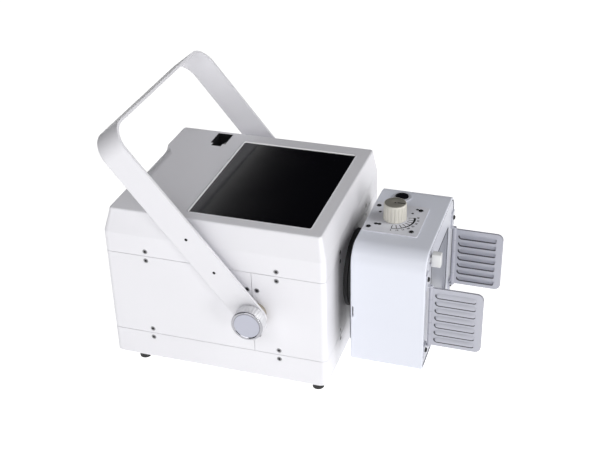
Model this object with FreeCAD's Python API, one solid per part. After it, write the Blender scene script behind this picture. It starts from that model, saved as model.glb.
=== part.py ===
import FreeCAD, Part
import math
import os
from FreeCAD import Vector

os.makedirs("parts", exist_ok=True)

# Portable x-ray machine, in millimetres.
# +X is the way the beam leaves, +Y is the far long side, +Z is up.
# The origin is on the floor, under the middle of the case, where the feet stand.

# Case
case_length = 250.0
case_width = 218.0
foot_height = 6.0
case_height = 189.0
lower_seam_height = 36.5
upper_seam_height = 137.0
shoulder_height = 161.5
shoulder_inset_side = 5.0
shoulder_inset_front = 5.0
shoulder_inset_rear = 8.0
bottom_chamfer = 5.0
corner_radius = 6.0
top_corner_radius = 4.0
top_edge_radius = 2.0
wall = 3.0
top_wall = 4.0
seam_gap = 0.4
belt_seam_x = 43.8

# Thumb scoop in the rear top edge
scoop_depth_x = 15.0
scoop_drop = 21.5
scoop_flat_half = 32.0
scoop_end_half = 54.0
scoop_bulge = 6.0
scoop_clearance = 0.05

# Feet
foot_radius = 6.4
foot_top_radius = 6.8
foot_x_rear = -96.0
foot_x_front = 112.0
foot_side_inset = 12.0
foot_counterbore_radius = 3.2
foot_counterbore_depth = 3.0

# Countersunk screws and the plates that join the shells
screw_head_radius = 2.75
screw_head_depth = 1.4
screw_fit = 0.08
inlet_screw_inset = 5.0
seam_screw_offset = 5.65
side_screw_x_rear = -77.2
side_screw_x_front = 71.7
end_screw_y = 53.0
belt_screw_z_top = 121.5
belt_screw_z_bottom = 64.6
belt_screw_offset = 5.5
joint_plate_thickness = 3.0
joint_plate_width = 12.0
joint_plate_length = 24.0

# Screen in the top shell
screen_centre_x = 36.4
screen_centre_y = -2.8
screen_length = 136.0
screen_width = 174.0
screen_radius = 2.0
screen_glass_thickness = 2.0
screen_pocket_depth = 2.8
screen_fit = 0.3
screen_ledge = 6.0
display_thickness = 6.0

# Modular socket in the top shell
socket_x = -60.9
socket_y = 84.8
socket_length = 18.7
socket_width = 26.5
socket_notch_length = 12.0
socket_notch_width = 6.7
socket_wall = 3.0
socket_depth = 16.0
socket_floor = 3.0
contact_count = 8
contact_pitch = 1.27
contact_width = 0.6
contact_length = 8.0
contact_ledge = 7.0

# Beam and the round swivel between the case and the collimator
beam_rise = 6.25
beam_tube_radius = 30.0
beam_tube_wall = 4.0
beam_hole_radius = 31.0
swivel_radius = 44.0
swivel_flange_thickness = 4.5
swivel_hub_radius = 34.0
swivel_hub_length = 7.0
swivel_ring_gap = 1.0
swivel_fit = 0.06
flange_screw_circle = 39.2
retainer_radius = 37.5
retainer_thickness = 1.2
retainer_gap = 0.3

# Inside the case
chassis_thickness = 2.0
chassis_boss_height = 5.0
chassis_boss_radius = 5.0
chassis_corner_radius = 4.0
chassis_length = 232.0
chassis_width = 200.0
tank_length = 140.0
tank_width = 124.0
tank_front_x = 80.0
tank_height = 112.0
tank_radius = 10.0
tank_lid_thickness = 4.0
tank_lid_overhang = 4.0
lid_screw_inset = 8.0
standoff_height = 18.0
standoff_radius = 3.0
board_length = 120.0
board_width = 110.0
board_thickness = 1.6
chip_size = 24.0
chip_height = 3.0
capacitor_count = 4
capacitor_radius = 5.0
capacitor_height = 14.0
connector_height = 9.0
supply_width = 150.0
supply_height = 50.0
supply_front_gap = 8.0
supply_rear_gap = 14.0
fin_count = 9
fin_depth = 6.0

# Mains inlet module in the rear end
inlet_y = 52.0
inlet_z = 96.0
inlet_flange_width = 34.0
inlet_flange_height = 56.0
inlet_flange_thickness = 2.0
inlet_body_width = 28.0
inlet_body_height = 48.0
inlet_body_depth = 22.0
inlet_cup_width = 24.0
inlet_cup_height = 16.5
inlet_cup_depth = 16.0
inlet_cup_corner = 5.0
inlet_cup_drop = 13.0
inlet_pin_length = 12.0
pin_spacing = 7.0
pin_drop = 2.0
pin_thickness = 2.0
pin_height = 4.0
fuse_height = 6.0
fuse_rise = 0.6
fuse_depth = 14.0
rocker_width = 20.0
rocker_height = 13.0
rocker_rise = 14.0
rocker_depth = 12.0
rocker_throw = 12.0
rocker_pivot_depth = 3.0
rocker_pin_radius = 1.5
rocker_pin_length = 1.5
rocker_dish = 1.4
rocker_proud = 1.2
rocker_fit = 0.3

# Carrying handle, bent from flat strip
pivot_x = 47.0
pivot_z = 94.5
strap_width = 31.6
strap_thickness = 3.0
strap_side_gap = 9.2
handle_reach = 247.0
handle_bend_radius = 26.0
handle_tilt = 39.0
strap_hole_radius = 1.7
strap_hole_near = 63.4
strap_hole_far = 109.4
pivot_stud_radius = 5.0
pivot_fit = 0.08
pivot_bush_radius = 12.0
pivot_spigot_radius = 8.0
pivot_bracket_thickness = 4.0
pivot_bracket_length = 56.0
pivot_bracket_height = 40.0
washer_thickness = 1.2
washer_radius = 14.0
face_gap = 0.3
clamp_knob_radius = 17.5
clamp_knob_length = 16.4
clamp_knob_flutes = 30
clamp_flute_depth = 0.6
clamp_collar_radius = 15.0
clamp_collar = 2.0
clamp_rim = 1.5
clamp_bore_depth = 12.0
stud_reach = 11.5
inlay_radius = 14.2
inlay_recess = 2.2
inlay_thickness = 1.6

# Collimator
collimator_rear_x = 142.5
collimator_length = 80.0
collimator_width = 151.0
collimator_drop = 71.0
collimator_height = 142.0
collimator_top_radius = 20.0
collimator_bottom_radius = 4.0
collimator_edge_chamfer = 1.0
collimator_wall = 2.5
mount_plate_thickness = 4.5
mount_plate_side_inset = 14.0
mount_plate_top_inset = 14.0
mount_plate_bottom_inset = 4.0
mount_plate_bottom_radius = 20.0
mount_spigot = 2.5
exit_plate_thickness = 2.5
exit_plate_recess = 0.5
window_width = 87.0
window_height = 82.0
window_thickness = 2.0
window_lip = 4.0
side_slot_height = 13.0
side_slot_width = 1.4
side_slot_x = 145.0
side_slot_drop = 8.0

# Folding guard wings on the exit face
wing_inset = 12.5
wing_lift = 28.0
wing_height = 73.0
wing_reach = 282.0
wing_thickness = 1.5
wing_corner_radius = 7.0
hinge_offset_x = 4.5
hinge_barrel_radius = 2.2
hinge_pin_radius = 1.0
hinge_fit = 0.05
hinge_end_gap = 0.4
louvre_count = 7
louvre_pitch = 9.3
louvre_length = 42.0
louvre_height = 5.0
louvre_rise = 1.5
louvre_start_x = 232.5
bracket_width = 11.0
bracket_height = 15.0
bracket_thickness = 1.5
bracket_screw_inset = 8.2
bracket_screw_over = 11.6
bracket_screw_under = 5.2
pan_head_radius = 2.6
pan_head_height = 2.0

# Catch of the wings
catch_inset = 25.5
catch_width = 10.0
catch_drop = 27.0
catch_height = 20.0
catch_length = 9.5
catch_lift = 2.0
button_stem_size = 6.0
button_edge_radius = 1.2
catch_stem_length = 9.0
catch_fit = 0.2

# Dial plate, field knob and lamp button on the collimator's top
dial_x = 172.5
dial_y = -4.8
dial_plate_rear_x = 143.6
dial_plate_length = 60.4
dial_plate_width = 64.4
dial_plate_thickness = 1.0
dial_plate_radius = 2.0
dial_screw_spacing = 47.6
dial_screw_head_radius = 2.3
knob_gap = 0.4
knob_height = 20.0
knob_radius = 12.0
knob_top_radius = 11.3
knob_skirt_radius = 14.0
knob_skirt_height = 2.6
knob_flutes = 24
knob_flute_depth = 0.75
knob_rim = 1.5
shaft_reach = 14.0
knob_cap_radius = 10.0
knob_cap_thickness = 1.2
pointer_angle = 12.0
pointer_width = 1.6
shaft_radius = 3.0
shaft_fit = 0.06
bush_radius = 5.0
bush_length = 8.0
button_x = 168.5
button_inset = 30.9
button_radius = 9.0
button_rise = 1.0
button_skirt_radius = 10.6
button_skirt_thickness = 1.5
button_travel = 1.5
button_fit = 0.3
button_height = 6.0
button_body_size = 19.0
switch_barrel_radius = 10.0
switch_body_depth = 10.0

# Shutter drive: a pinion between two racks
gear_module = 1.0
pinion_teeth = 24
pressure_angle = 20.0
gear_width = 6.0
gear_backlash = 0.24
gear_drop = 24.0
rack_body = 4.2
neck_width = 2.2
neck_height = 2.0
blade_open = 20.9
blade_width = 34.0
blade_drop = 39.0
web_gap = 4.0
blade_thickness = 3.0
leaf_gap = 1.5
web_thickness = 3.0
bar_clearance = 1.0
web_inner_margin = 4.0
rack_over_travel = 9.0
shutter_close_deg = 99.0
guide_gap = 0.3
guide_wall = 2.0
guide_wall_gap = 21.5
guide_switch_gap = 1.0
gear_plate_thickness = 2.0
gear_plate_gap = 1.0
gear_plate_length = 22.0
gear_plate_width = 60.0
post_radius = 3.0

# Light field mirror and lamp
mirror_x = 164.0
mirror_length = 42.0
mirror_width = 46.0
mirror_thickness = 1.5
cheek_thickness = 2.0
cheek_margin = 3.0
lamp_radius = 8.0
lamp_socket_length = 22.0
lamp_bulb_radius = 5.5
lamp_bulb_length = 9.0

# Places that follow from the sizes above
half_length = case_length / 2
half_width = case_width / 2
case_bottom = foot_height
case_top = case_bottom + case_height
lower_seam = case_bottom + lower_seam_height
upper_seam = case_bottom + upper_seam_height
shoulder_z = case_bottom + shoulder_height
beam_z = (lower_seam + upper_seam) / 2 + beam_rise
collimator_front_x = collimator_rear_x + collimator_length
collimator_half_width = collimator_width / 2
collimator_bottom_z = beam_z - collimator_drop
collimator_top_z = collimator_bottom_z + collimator_height
exit_face_x = collimator_front_x - exit_plate_recess
hinge_x = exit_face_x + hinge_offset_x
wing_y = collimator_half_width - wing_inset
wing_bottom_z = collimator_bottom_z + wing_lift
wing_top_z = wing_bottom_z + wing_height
bracket_screw_y = collimator_half_width - bracket_screw_inset
bracket_screw_z_top = wing_top_z + bracket_screw_over
bracket_screw_z_bottom = wing_bottom_z - bracket_screw_under
catch_y = -collimator_half_width + catch_inset
catch_bottom_z = collimator_top_z - catch_drop
button_y = collimator_half_width - button_inset
guide_start_y = -collimator_half_width + guide_wall_gap
guide_end_y = button_y - button_skirt_radius - guide_switch_gap
side_slot_z = beam_z - side_slot_drop
gear_bottom_z = collimator_top_z - gear_drop
strap_inner_y = half_width + strap_side_gap
strap_outer_y = strap_inner_y + strap_thickness
washer_y = strap_inner_y - face_gap - washer_thickness
stud_end_y = strap_outer_y + stud_reach
tank_rear_x = tank_front_x - tank_length
tank_middle_x = tank_front_x - tank_length / 2
inlet_face_x = -half_length - inlet_flange_thickness
mount_plate_x = collimator_rear_x - mount_plate_thickness
spigot_end_x = collimator_rear_x + mount_spigot
hub_end_x = half_length + swivel_flange_thickness + swivel_hub_length
window_z = beam_z
catch_z = catch_bottom_z + catch_height / 2
chassis_bottom = case_bottom + wall + chassis_boss_height
chassis_top = chassis_bottom + chassis_thickness
pitch_radius = gear_module * pinion_teeth / 2
tooth_thickness = (math.pi * gear_module - gear_backlash) / 2
rack_travel = pitch_radius * math.radians(shutter_close_deg)
gear_plate_bottom = gear_bottom_z - gear_plate_gap - gear_plate_thickness
blade_bottom_z = beam_z - blade_drop
blade_top_z = gear_plate_bottom - web_gap
bar_bottom_z = blade_top_z + web_thickness + bar_clearance
shaft_top_z = collimator_top_z + dial_plate_thickness + knob_gap + shaft_reach
X_AXIS = Vector(1, 0, 0)
Y_AXIS = Vector(0, 1, 0)
Z_AXIS = Vector(0, 0, 1)


def save(name, shapes):
    """Write one sub-part, which may be several separate solids."""
    shape = Part.makeCompound(shapes) if isinstance(shapes, list) else shapes
    shape.exportStep("parts/" + name + ".step")


def box(x0, x1, y0, y1, z0, z1):
    return Part.makeBox(x1 - x0, y1 - y0, z1 - z0, Vector(x0, y0, z0))


def rod(radius, start, axis, length):
    return Part.makeCylinder(radius, length, start, axis)


def tube(outer, inner, start, axis, length):
    return rod(outer, start, axis, length).cut(rod(inner, start, axis, length))


def mirrored(shape):
    """The same shape on the other long side of the machine."""
    return shape.mirror(Vector(0, 0, 0), Y_AXIS)


def loop(x0, x1, y0, y1, radii):
    """Closed outline in the XY plane; radii run round from the corner x0, y0."""
    corners = [(x0, y0, 180), (x1, y0, 270), (x1, y1, 0), (x0, y1, 90)]
    edges = []
    ends = []
    for (x, y, start), radius in zip(corners, radii):
        cx = x + radius if x == x0 else x - radius
        cy = y + radius if y == y0 else y - radius
        arc = []
        for angle in (start, start + 45, start + 90):
            turn = math.radians(angle)
            arc.append(Vector(cx + radius * math.cos(turn), cy + radius * math.sin(turn), 0))
        ends.append(arc)
    for index, arc in enumerate(ends):
        edges.append(Part.Arc(*arc).toShape())
        edges.append(Part.LineSegment(arc[2], ends[(index + 1) % 4][0]).toShape())
    return Part.Wire(edges)


def plate(x0, x1, y0, y1, z0, z1, radius):
    """Flat plate with rounded upright corners."""
    wire = loop(x0, x1, y0, y1, [radius] * 4)
    wire.translate(Vector(0, 0, z0))
    return Part.Face(wire).extrude(Vector(0, 0, z1 - z0))


def end_plate(x0, x1, half_y, z0, z1, top_radius, bottom_radius):
    """Plate across the beam: an outline in Y and Z, extruded along X."""
    radii = [bottom_radius, bottom_radius, top_radius, top_radius]
    wire = loop(-half_y, half_y, z0, z1, radii)
    wire.rotate(Vector(0, 0, 0), X_AXIS, 90)
    wire.rotate(Vector(0, 0, 0), Z_AXIS, 90)
    wire.translate(Vector(x0, 0, 0))
    return Part.Face(wire).extrude(Vector(x1 - x0, 0, 0))


def side_plate(y0, y1, x0, x1, z0, z1, radius):
    """Plate along the side: an outline in X and Z, extruded along Y."""
    wire = loop(x0, x1, z0, z1, [radius] * 4)
    wire.rotate(Vector(0, 0, 0), X_AXIS, 90)
    wire.translate(Vector(0, y0, 0))
    return Part.Face(wire).extrude(Vector(0, y1 - y0, 0))


def obround(length, height, depth, centre, y0):
    """Slot shape with round ends, long way along X, extruded along +Y from y0."""
    x, z = centre
    half = (length - height) / 2
    return side_plate(y0, y0 + depth, x - half - height / 2, x + half + height / 2,
                      z - height / 2, z + height / 2, height / 2 - 0.01)


def aimed(shape, point, direction):
    """A copy of a shape drawn along +Z, turned along direction and set at point."""
    copy = shape.copy()
    copy.Placement = FreeCAD.Placement(point, FreeCAD.Rotation(Z_AXIS, direction))
    return copy


def screw_heads(places, radius=screw_head_radius):
    """Flush screw heads, each seated in a pocket of the piece that it holds."""
    return [aimed(rod(radius, Vector(0, 0, -screw_head_depth), Z_AXIS, screw_head_depth), *place)
            for place in places]


def screw_pockets(places, radius=screw_head_radius):
    pocket = rod(radius + screw_fit, Vector(0, 0, -screw_head_depth), Z_AXIS, 2 * screw_head_depth)
    return Part.makeCompound([aimed(pocket, *place) for place in places])


def side_screw_places():
    """Screws in the two long sides: a pair on each side of every seam."""
    places = []
    for side in (-1, 1):
        normal = Vector(0, side, 0)
        for x in (side_screw_x_rear, side_screw_x_front):
            for seam in (lower_seam, upper_seam):
                for step in (-1, 1):
                    places.append((Vector(x, side * half_width, seam + step * seam_screw_offset), normal))
        for z in (belt_screw_z_top, belt_screw_z_bottom):
            for step in (-1, 1):
                places.append((Vector(belt_seam_x + step * belt_screw_offset, side * half_width, z), normal))
    return places


def end_screw_places():
    """Screws in the two ends."""
    places = []
    for end in (-1, 1):
        for side in (-1, 1):
            for seam in (lower_seam, upper_seam):
                for step in (-1, 1):
                    place = Vector(end * half_length, side * end_screw_y, seam + step * seam_screw_offset)
                    places.append((place, Vector(end, 0, 0)))
    return places


def flange_screw_places():
    """Four screws through the swivel flange into the case's front end."""
    places = []
    face = half_length + swivel_flange_thickness
    for index in range(4):
        turn = math.radians(45 + 90 * index)
        y = flange_screw_circle * math.cos(turn)
        z = beam_z + flange_screw_circle * math.sin(turn)
        places.append((Vector(face, y, z), X_AXIS))
    return places


def lid_screw_places():
    """Six screws in the tank's lid."""
    places = []
    top = chassis_top + tank_height + tank_lid_thickness
    for side in (-1, 1):
        y = side * (tank_width / 2 - lid_screw_inset)
        for x in (tank_rear_x + lid_screw_inset, tank_middle_x, tank_front_x - lid_screw_inset):
            places.append((Vector(x, y, top), Z_AXIS))
    return places


def inlet_screw_places():
    """Two screws that hold the mains module's flange."""
    places = []
    for step in (-1, 1):
        z = inlet_z + step * (inlet_flange_height / 2 - inlet_screw_inset)
        places.append((Vector(-half_length - inlet_flange_thickness, inlet_y, z), Vector(-1, 0, 0)))
    return places


def case_screws():
    places = side_screw_places() + end_screw_places() + flange_screw_places()
    return screw_heads(places + lid_screw_places() + inlet_screw_places())


def case_body(inset):
    """The case's outer form, or the same form drawn in by a wall's thickness."""
    bend = case_bottom + bottom_chamfer + inset * (math.sqrt(2) - 1)
    low = case_bottom + inset
    sections = [(low, bend - low, bend - low, bend - low, corner_radius),
                (bend, 0, 0, 0, corner_radius),
                (shoulder_z, 0, 0, 0, corner_radius),
                (case_top, shoulder_inset_rear, shoulder_inset_front, shoulder_inset_side, top_corner_radius)]
    wires = []
    for z, rear, front, side, radius in sections:
        wire = loop(-half_length + inset + rear, half_length - inset - front,
                    -half_width + inset + side, half_width - inset - side, [radius - inset] * 4)
        wire.translate(Vector(0, 0, z))
        wires.append(wire)
    return Part.makeLoft(wires, True, True)


def scoop_section(y, share, shift):
    """Outline of the thumb scoop's cutter at one place; share runs from 0, no cut, to 1."""
    edge = -half_length + shoulder_inset_rear
    lean = shoulder_inset_rear / (case_height - shoulder_height)
    start = Vector(edge + share * scoop_depth_x, y, case_top)
    end = Vector(edge - lean * scoop_drop, y, case_top - scoop_drop)
    bulge = scoop_bulge * share + scoop_clearance
    middle = (start + end) * 0.5 + Vector(-1, 0, 1).normalize() * bulge
    outer = edge - 2 * scoop_depth_x
    above = case_top + scoop_drop
    corners = [end, Vector(outer, y, end.z), Vector(outer, y, above), Vector(start.x, y, above), start]
    edges = [Part.Arc(start, middle, end).toShape()]
    for first, second in zip(corners, corners[1:]):
        edges.append(Part.LineSegment(first, second).toShape())
    wire = Part.Wire(edges)
    wire.translate(Vector(shift, 0, -shift))
    return wire


def scoop_cutter(shift):
    """A rounded cut along the middle of the rear top edge that fades out at both ends."""
    middle = Part.makeLoft([scoop_section(-scoop_flat_half, 1, shift),
                            scoop_section(scoop_flat_half, 1, shift)], True, True)
    ramp = Part.makeLoft([scoop_section(scoop_flat_half, 1, shift),
                          scoop_section(scoop_end_half + shift, 0, shift)], True, True)
    return middle.fuse([ramp, mirrored(ramp)])


def case_shell(z0, z1, x0, x1):
    """The part of the hollow case between two heights and two places along it."""
    region = box(x0, x1, -case_width, case_width, z0, z1)
    outer = case_body(0)
    top_edges = []
    for edge in outer.Edges:
        if abs(edge.BoundBox.ZMin - case_top) < 0.001:
            top_edges.append(edge)
    outer = outer.makeFillet(top_edge_radius, top_edges)
    inner = case_body(wall).common(box(-case_length, case_length, -case_width, case_width,
                                       0, case_top - top_wall))
    hollow = outer.cut(scoop_cutter(0)).cut(inner.cut(scoop_cutter(wall)))
    return hollow.common(region)


def socket_outline(grow, z0, z1):
    """The modular socket's well: a rectangle with a notch for the plug's latch."""
    x_half = socket_length / 2 + grow
    y_half = socket_width / 2 + grow
    well = box(socket_x - x_half, socket_x + x_half, socket_y - y_half, socket_y + y_half, z0, z1)
    notch_half = socket_notch_length / 2 + grow
    notch_end = socket_y - y_half - socket_notch_width
    return well.fuse(box(socket_x - notch_half, socket_x + notch_half, notch_end, socket_y, z0, z1))


def screen_block(grow, z0, z1, radius):
    x_half = screen_length / 2 + grow
    y_half = screen_width / 2 + grow
    return plate(screen_centre_x - x_half, screen_centre_x + x_half,
                 screen_centre_y - y_half, screen_centre_y + y_half, z0, z1, radius)


def top_shell():
    shell = case_shell(upper_seam + seam_gap / 2, case_height * 2, -case_length, case_length)
    shell = shell.cut(screen_block(0, case_top - screen_pocket_depth, case_top + 1, screen_radius))
    shell = shell.cut(screen_block(-screen_ledge, case_top - top_wall - 1, case_top, screen_radius))
    shell = shell.cut(socket_outline(0, case_top - top_wall - 1, case_top + 1))
    return shell.cut(screw_pockets(side_screw_places() + end_screw_places()))


def spigot_spaces():
    """Holes for the handle's pivot spacers, which cross the upright seam."""
    start = Vector(pivot_x, -case_width, pivot_z)
    return rod(pivot_spigot_radius + pivot_fit, start, Y_AXIS, 2 * case_width)


def rear_belt_shell():
    shell = case_shell(lower_seam + seam_gap / 2, upper_seam - seam_gap / 2,
                       -case_length, belt_seam_x - seam_gap / 2)
    hole = inlet_block(inlet_body_width, inlet_body_height, -half_length - 1, -half_length + wall + 1, 0)
    pockets = screw_pockets(side_screw_places() + end_screw_places())
    return shell.cut([hole, spigot_spaces(), pockets])


def front_belt_shell():
    shell = case_shell(lower_seam + seam_gap / 2, upper_seam - seam_gap / 2,
                       belt_seam_x + seam_gap / 2, case_length)
    hole = rod(beam_hole_radius, Vector(half_length - wall - 1, 0, beam_z), X_AXIS, wall + 2)
    pockets = screw_pockets(side_screw_places() + end_screw_places())
    return shell.cut([hole, spigot_spaces(), pockets])


def foot_places():
    y = half_width - foot_side_inset
    return [(x, side * y) for x in (foot_x_rear, foot_x_front) for side in (-1, 1)]


def bottom_tray():
    """Tray with a boss over each foot, on which the chassis plate stands."""
    shell = case_shell(0, lower_seam - seam_gap / 2, -case_length, case_length)
    bosses = []
    for x, y in foot_places():
        bosses.append(rod(chassis_boss_radius, Vector(x, y, case_bottom + wall), Z_AXIS, chassis_boss_height))
    return shell.fuse(bosses).cut(screw_pockets(side_screw_places() + end_screw_places()))


def rubber_feet():
    feet = []
    for x, y in foot_places():
        foot = Part.makeCone(foot_radius, foot_top_radius, foot_height, Vector(x, y, 0))
        feet.append(foot.cut(rod(foot_counterbore_radius, Vector(x, y, 0), Z_AXIS, foot_counterbore_depth)))
    return feet


def foot_screws():
    """Screw heads that hold the feet, up inside their recesses."""
    start = foot_counterbore_depth - screw_head_depth
    return [rod(screw_head_radius, Vector(x, y, start), Z_AXIS, screw_head_depth) for x, y in foot_places()]


def joint_plate(width, length, point, normal):
    """Plate inside the wall, under a pair of screws that crosses a seam."""
    inner = box(-width / 2, width / 2, -length / 2, length / 2, -wall - joint_plate_thickness, -wall)
    return aimed(inner, point, normal)


def seam_brackets():
    """Plates that join the shells behind their seams, under the case screws."""
    plates = []
    for side in (-1, 1):
        normal = Vector(0, side, 0)
        for seam in (lower_seam, upper_seam):
            for x in (side_screw_x_rear, side_screw_x_front):
                point = Vector(x, side * half_width, seam)
                plates.append(joint_plate(joint_plate_width, joint_plate_length, point, normal))
            for end in (-1, 1):
                point = Vector(end * half_length, side * end_screw_y, seam)
                plates.append(joint_plate(joint_plate_length, joint_plate_width, point, Vector(end, 0, 0)))
        for z in (belt_screw_z_top, belt_screw_z_bottom):
            point = Vector(belt_seam_x, side * half_width, z)
            plates.append(joint_plate(joint_plate_length, joint_plate_width, point, normal))
    return plates


def screen_glass():
    top = case_top - screen_pocket_depth + screen_glass_thickness
    return screen_block(-screen_fit, case_top - screen_pocket_depth, top, screen_radius - screen_fit)


def display_module():
    """Display panel under the glass, its rim against the underside of the top wall."""
    under = case_top - top_wall
    face = screen_block(-screen_ledge - screen_fit, under, case_top - screen_pocket_depth, screen_radius)
    rim = screen_block(-screen_fit, under - display_thickness, under, screen_radius)
    return face.fuse(rim)


def port_socket():
    """Plastic socket body under the top wall, with a well that opens upwards."""
    under = case_top - top_wall
    x_half = socket_length / 2 + socket_wall
    y0 = socket_y - socket_width / 2 - socket_notch_width - socket_wall
    y1 = socket_y + socket_width / 2 + socket_wall
    body = box(socket_x - x_half, socket_x + x_half, y0, y1, under - socket_depth - socket_floor, under)
    return body.cut(socket_outline(0, under - socket_depth, under + 1))


def port_contacts():
    """Eight sprung contacts that reach into the socket's well from its wall."""
    contacts = []
    x1 = socket_x + socket_length / 2
    z0 = case_top - top_wall - contact_ledge
    for index in range(contact_count):
        y = socket_y + (index - (contact_count - 1) / 2) * contact_pitch
        contacts.append(box(x1 - contact_length, x1, y - contact_width / 2, y + contact_width / 2,
                            z0, z0 + contact_width))
    return contacts


def chassis_plate():
    half_x = chassis_length / 2
    half_y = chassis_width / 2
    return plate(-half_x, half_x, -half_y, half_y, chassis_bottom, chassis_top, chassis_corner_radius)


def monoblock_tank():
    """Sealed tank that holds the x-ray tube and its high voltage coil."""
    return plate(tank_rear_x, tank_front_x, -tank_width / 2, tank_width / 2,
                 chassis_top, chassis_top + tank_height, tank_radius)


def tank_lid():
    top = chassis_top + tank_height
    half = tank_width / 2 + tank_lid_overhang
    lid = plate(tank_rear_x - tank_lid_overhang, tank_front_x, -half, half,
                top, top + tank_lid_thickness, tank_radius)
    return lid.cut(screw_pockets(lid_screw_places()))


def beam_tube():
    """Round port that carries the beam from the tank through the swivel."""
    return tube(beam_tube_radius, beam_tube_radius - beam_tube_wall, Vector(tank_front_x, 0, beam_z),
                X_AXIS, mount_plate_x - tank_front_x)


def power_supply():
    """Power supply with cooling fins on its rear face."""
    front = tank_rear_x - supply_front_gap
    rear = -half_length + wall + supply_rear_gap
    half = supply_width / 2
    block = box(rear + fin_depth, front, -half, half, chassis_top, chassis_top + supply_height)
    pitch = supply_width / (fin_count - 0.5)
    fins = []
    for index in range(fin_count):
        y = -half + index * pitch
        fins.append(box(rear, rear + fin_depth, y, y + pitch / 2, chassis_top, chassis_top + supply_height))
    return block.fuse(fins)


def board_corner_places():
    inset = 2 * standoff_radius
    half_x = board_length / 2 - inset
    half_y = board_width / 2 - inset
    return [(tank_middle_x + i * half_x, j * half_y) for i in (-1, 1) for j in (-1, 1)]


def board_standoffs():
    base = chassis_top + tank_height + tank_lid_thickness
    return [rod(standoff_radius, Vector(x, y, base), Z_AXIS, standoff_height) for x, y in board_corner_places()]


def control_board():
    base = chassis_top + tank_height + tank_lid_thickness + standoff_height
    return plate(tank_middle_x - board_length / 2, tank_middle_x + board_length / 2,
                 -board_width / 2, board_width / 2, base, base + board_thickness, standoff_radius)


def board_components():
    """Main chip, a row of capacitors and a connector on the control board."""
    base = chassis_top + tank_height + tank_lid_thickness + standoff_height + board_thickness
    chip = box(tank_middle_x - chip_size / 2, tank_middle_x + chip_size / 2,
               -chip_size / 2, chip_size / 2, base, base + chip_height)
    parts = [chip]
    for index in range(capacitor_count):
        x = tank_middle_x - board_length / 4 + index * 3 * capacitor_radius
        parts.append(rod(capacitor_radius, Vector(x, board_width / 3, base), Z_AXIS, capacitor_height))
    parts.append(box(tank_middle_x + board_length / 3, tank_middle_x + board_length / 3 + chip_height * 2,
                     -chip_size, chip_size, base, base + connector_height))
    return parts


def inlet_block(width, height, x0, x1, rise):
    """Block of the mains module, centred across it, at a height above its middle."""
    z = inlet_z + rise
    return box(x0, x1, inlet_y - width / 2, inlet_y + width / 2, z - height / 2, z + height / 2)


def rocker_axis():
    return Vector(inlet_face_x + rocker_pivot_depth, inlet_y, inlet_z + rocker_rise)


def inlet_module():
    """Mains module in the rear end: a flange, an inlet cup, a fuse slot and a switch opening."""
    face = inlet_face_x
    back = -half_length + inlet_body_depth
    half_w = inlet_flange_width / 2
    half_h = inlet_flange_height / 2
    flange = end_plate(face, -half_length, half_w, inlet_z - half_h, inlet_z + half_h, 2, 2)
    flange.translate(Vector(0, inlet_y, 0))
    body = inlet_block(inlet_body_width - 2 * rocker_fit, inlet_body_height - 2 * rocker_fit,
                       -half_length, back, 0)
    cup = end_plate(face - 1, face + inlet_cup_depth, inlet_cup_width / 2,
                    inlet_z - inlet_cup_drop - inlet_cup_height / 2,
                    inlet_z - inlet_cup_drop + inlet_cup_height / 2, inlet_cup_corner, 1)
    cup.translate(Vector(0, inlet_y, 0))
    fuse = inlet_block(inlet_cup_width - 2 + 2 * rocker_fit, fuse_height + 2 * rocker_fit,
                       face - 1, face + fuse_depth + rocker_fit, fuse_rise)
    opening = inlet_block(rocker_width + 2 * rocker_fit, rocker_height + 2 * rocker_fit,
                          face - 1, face + rocker_depth, rocker_rise)
    start = rocker_axis() - Y_AXIS * (rocker_width / 2 + rocker_pin_length + rocker_fit)
    bearing = rod(rocker_pin_radius + shaft_fit, start, Y_AXIS,
                  rocker_width + 2 * rocker_pin_length + 2 * rocker_fit)
    return flange.fuse(body).cut([cup, fuse, opening, bearing, screw_pockets(inlet_screw_places())])


def inlet_pins():
    """Three flat contact pins in the inlet cup, the earth pin in the middle and higher."""
    pins = []
    floor = inlet_face_x + inlet_cup_depth
    for step, rise in ((-1, -pin_drop), (0, pin_drop), (1, -pin_drop)):
        y = inlet_y + step * pin_spacing
        z = inlet_z - inlet_cup_drop + rise
        pins.append(box(floor - inlet_pin_length, floor, y - pin_thickness / 2, y + pin_thickness / 2,
                        z - pin_height / 2, z + pin_height / 2))
    return pins


def power_rocker():
    """Rocker with a dished face on two short pins, tipped to its off side."""
    axis = rocker_axis()
    start = axis - Y_AXIS * rocker_width / 2
    radius = rocker_height / 2
    body = rod(radius, start, Y_AXIS, rocker_width)
    edge = -rocker_pivot_depth - rocker_proud
    face = [Vector(-2 * radius, 0, -2 * radius), Vector(edge, 0, -radius), Vector(edge + rocker_dish, 0, 0),
            Vector(edge, 0, radius), Vector(-2 * radius, 0, 2 * radius), Vector(-2 * radius, 0, -2 * radius)]
    dish = Part.Face(Part.makePolygon(face)).extrude(Vector(0, rocker_width, 0))
    dish.translate(start)
    back = box(axis.x + rocker_pin_radius + 1, axis.x + 2 * radius, start.y, start.y + rocker_width,
               axis.z - radius, axis.z + radius)
    pin_start = start - Y_AXIS * rocker_pin_length
    pin = rod(rocker_pin_radius, pin_start, Y_AXIS, rocker_width + 2 * rocker_pin_length)
    rocker = body.cut([dish, back]).fuse(pin)
    rocker.rotate(axis, Y_AXIS, rocker_throw / 2)
    return rocker


def fuse_drawer():
    """Fuse drawer with a finger lip."""
    width = inlet_cup_width - 2
    drawer = inlet_block(width, fuse_height, inlet_face_x, inlet_face_x + fuse_depth, fuse_rise)
    lip = inlet_block(width / 2, fuse_height / 3, inlet_face_x - rocker_proud, inlet_face_x,
                      fuse_rise + fuse_height / 3)
    return drawer.fuse(lip)


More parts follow.
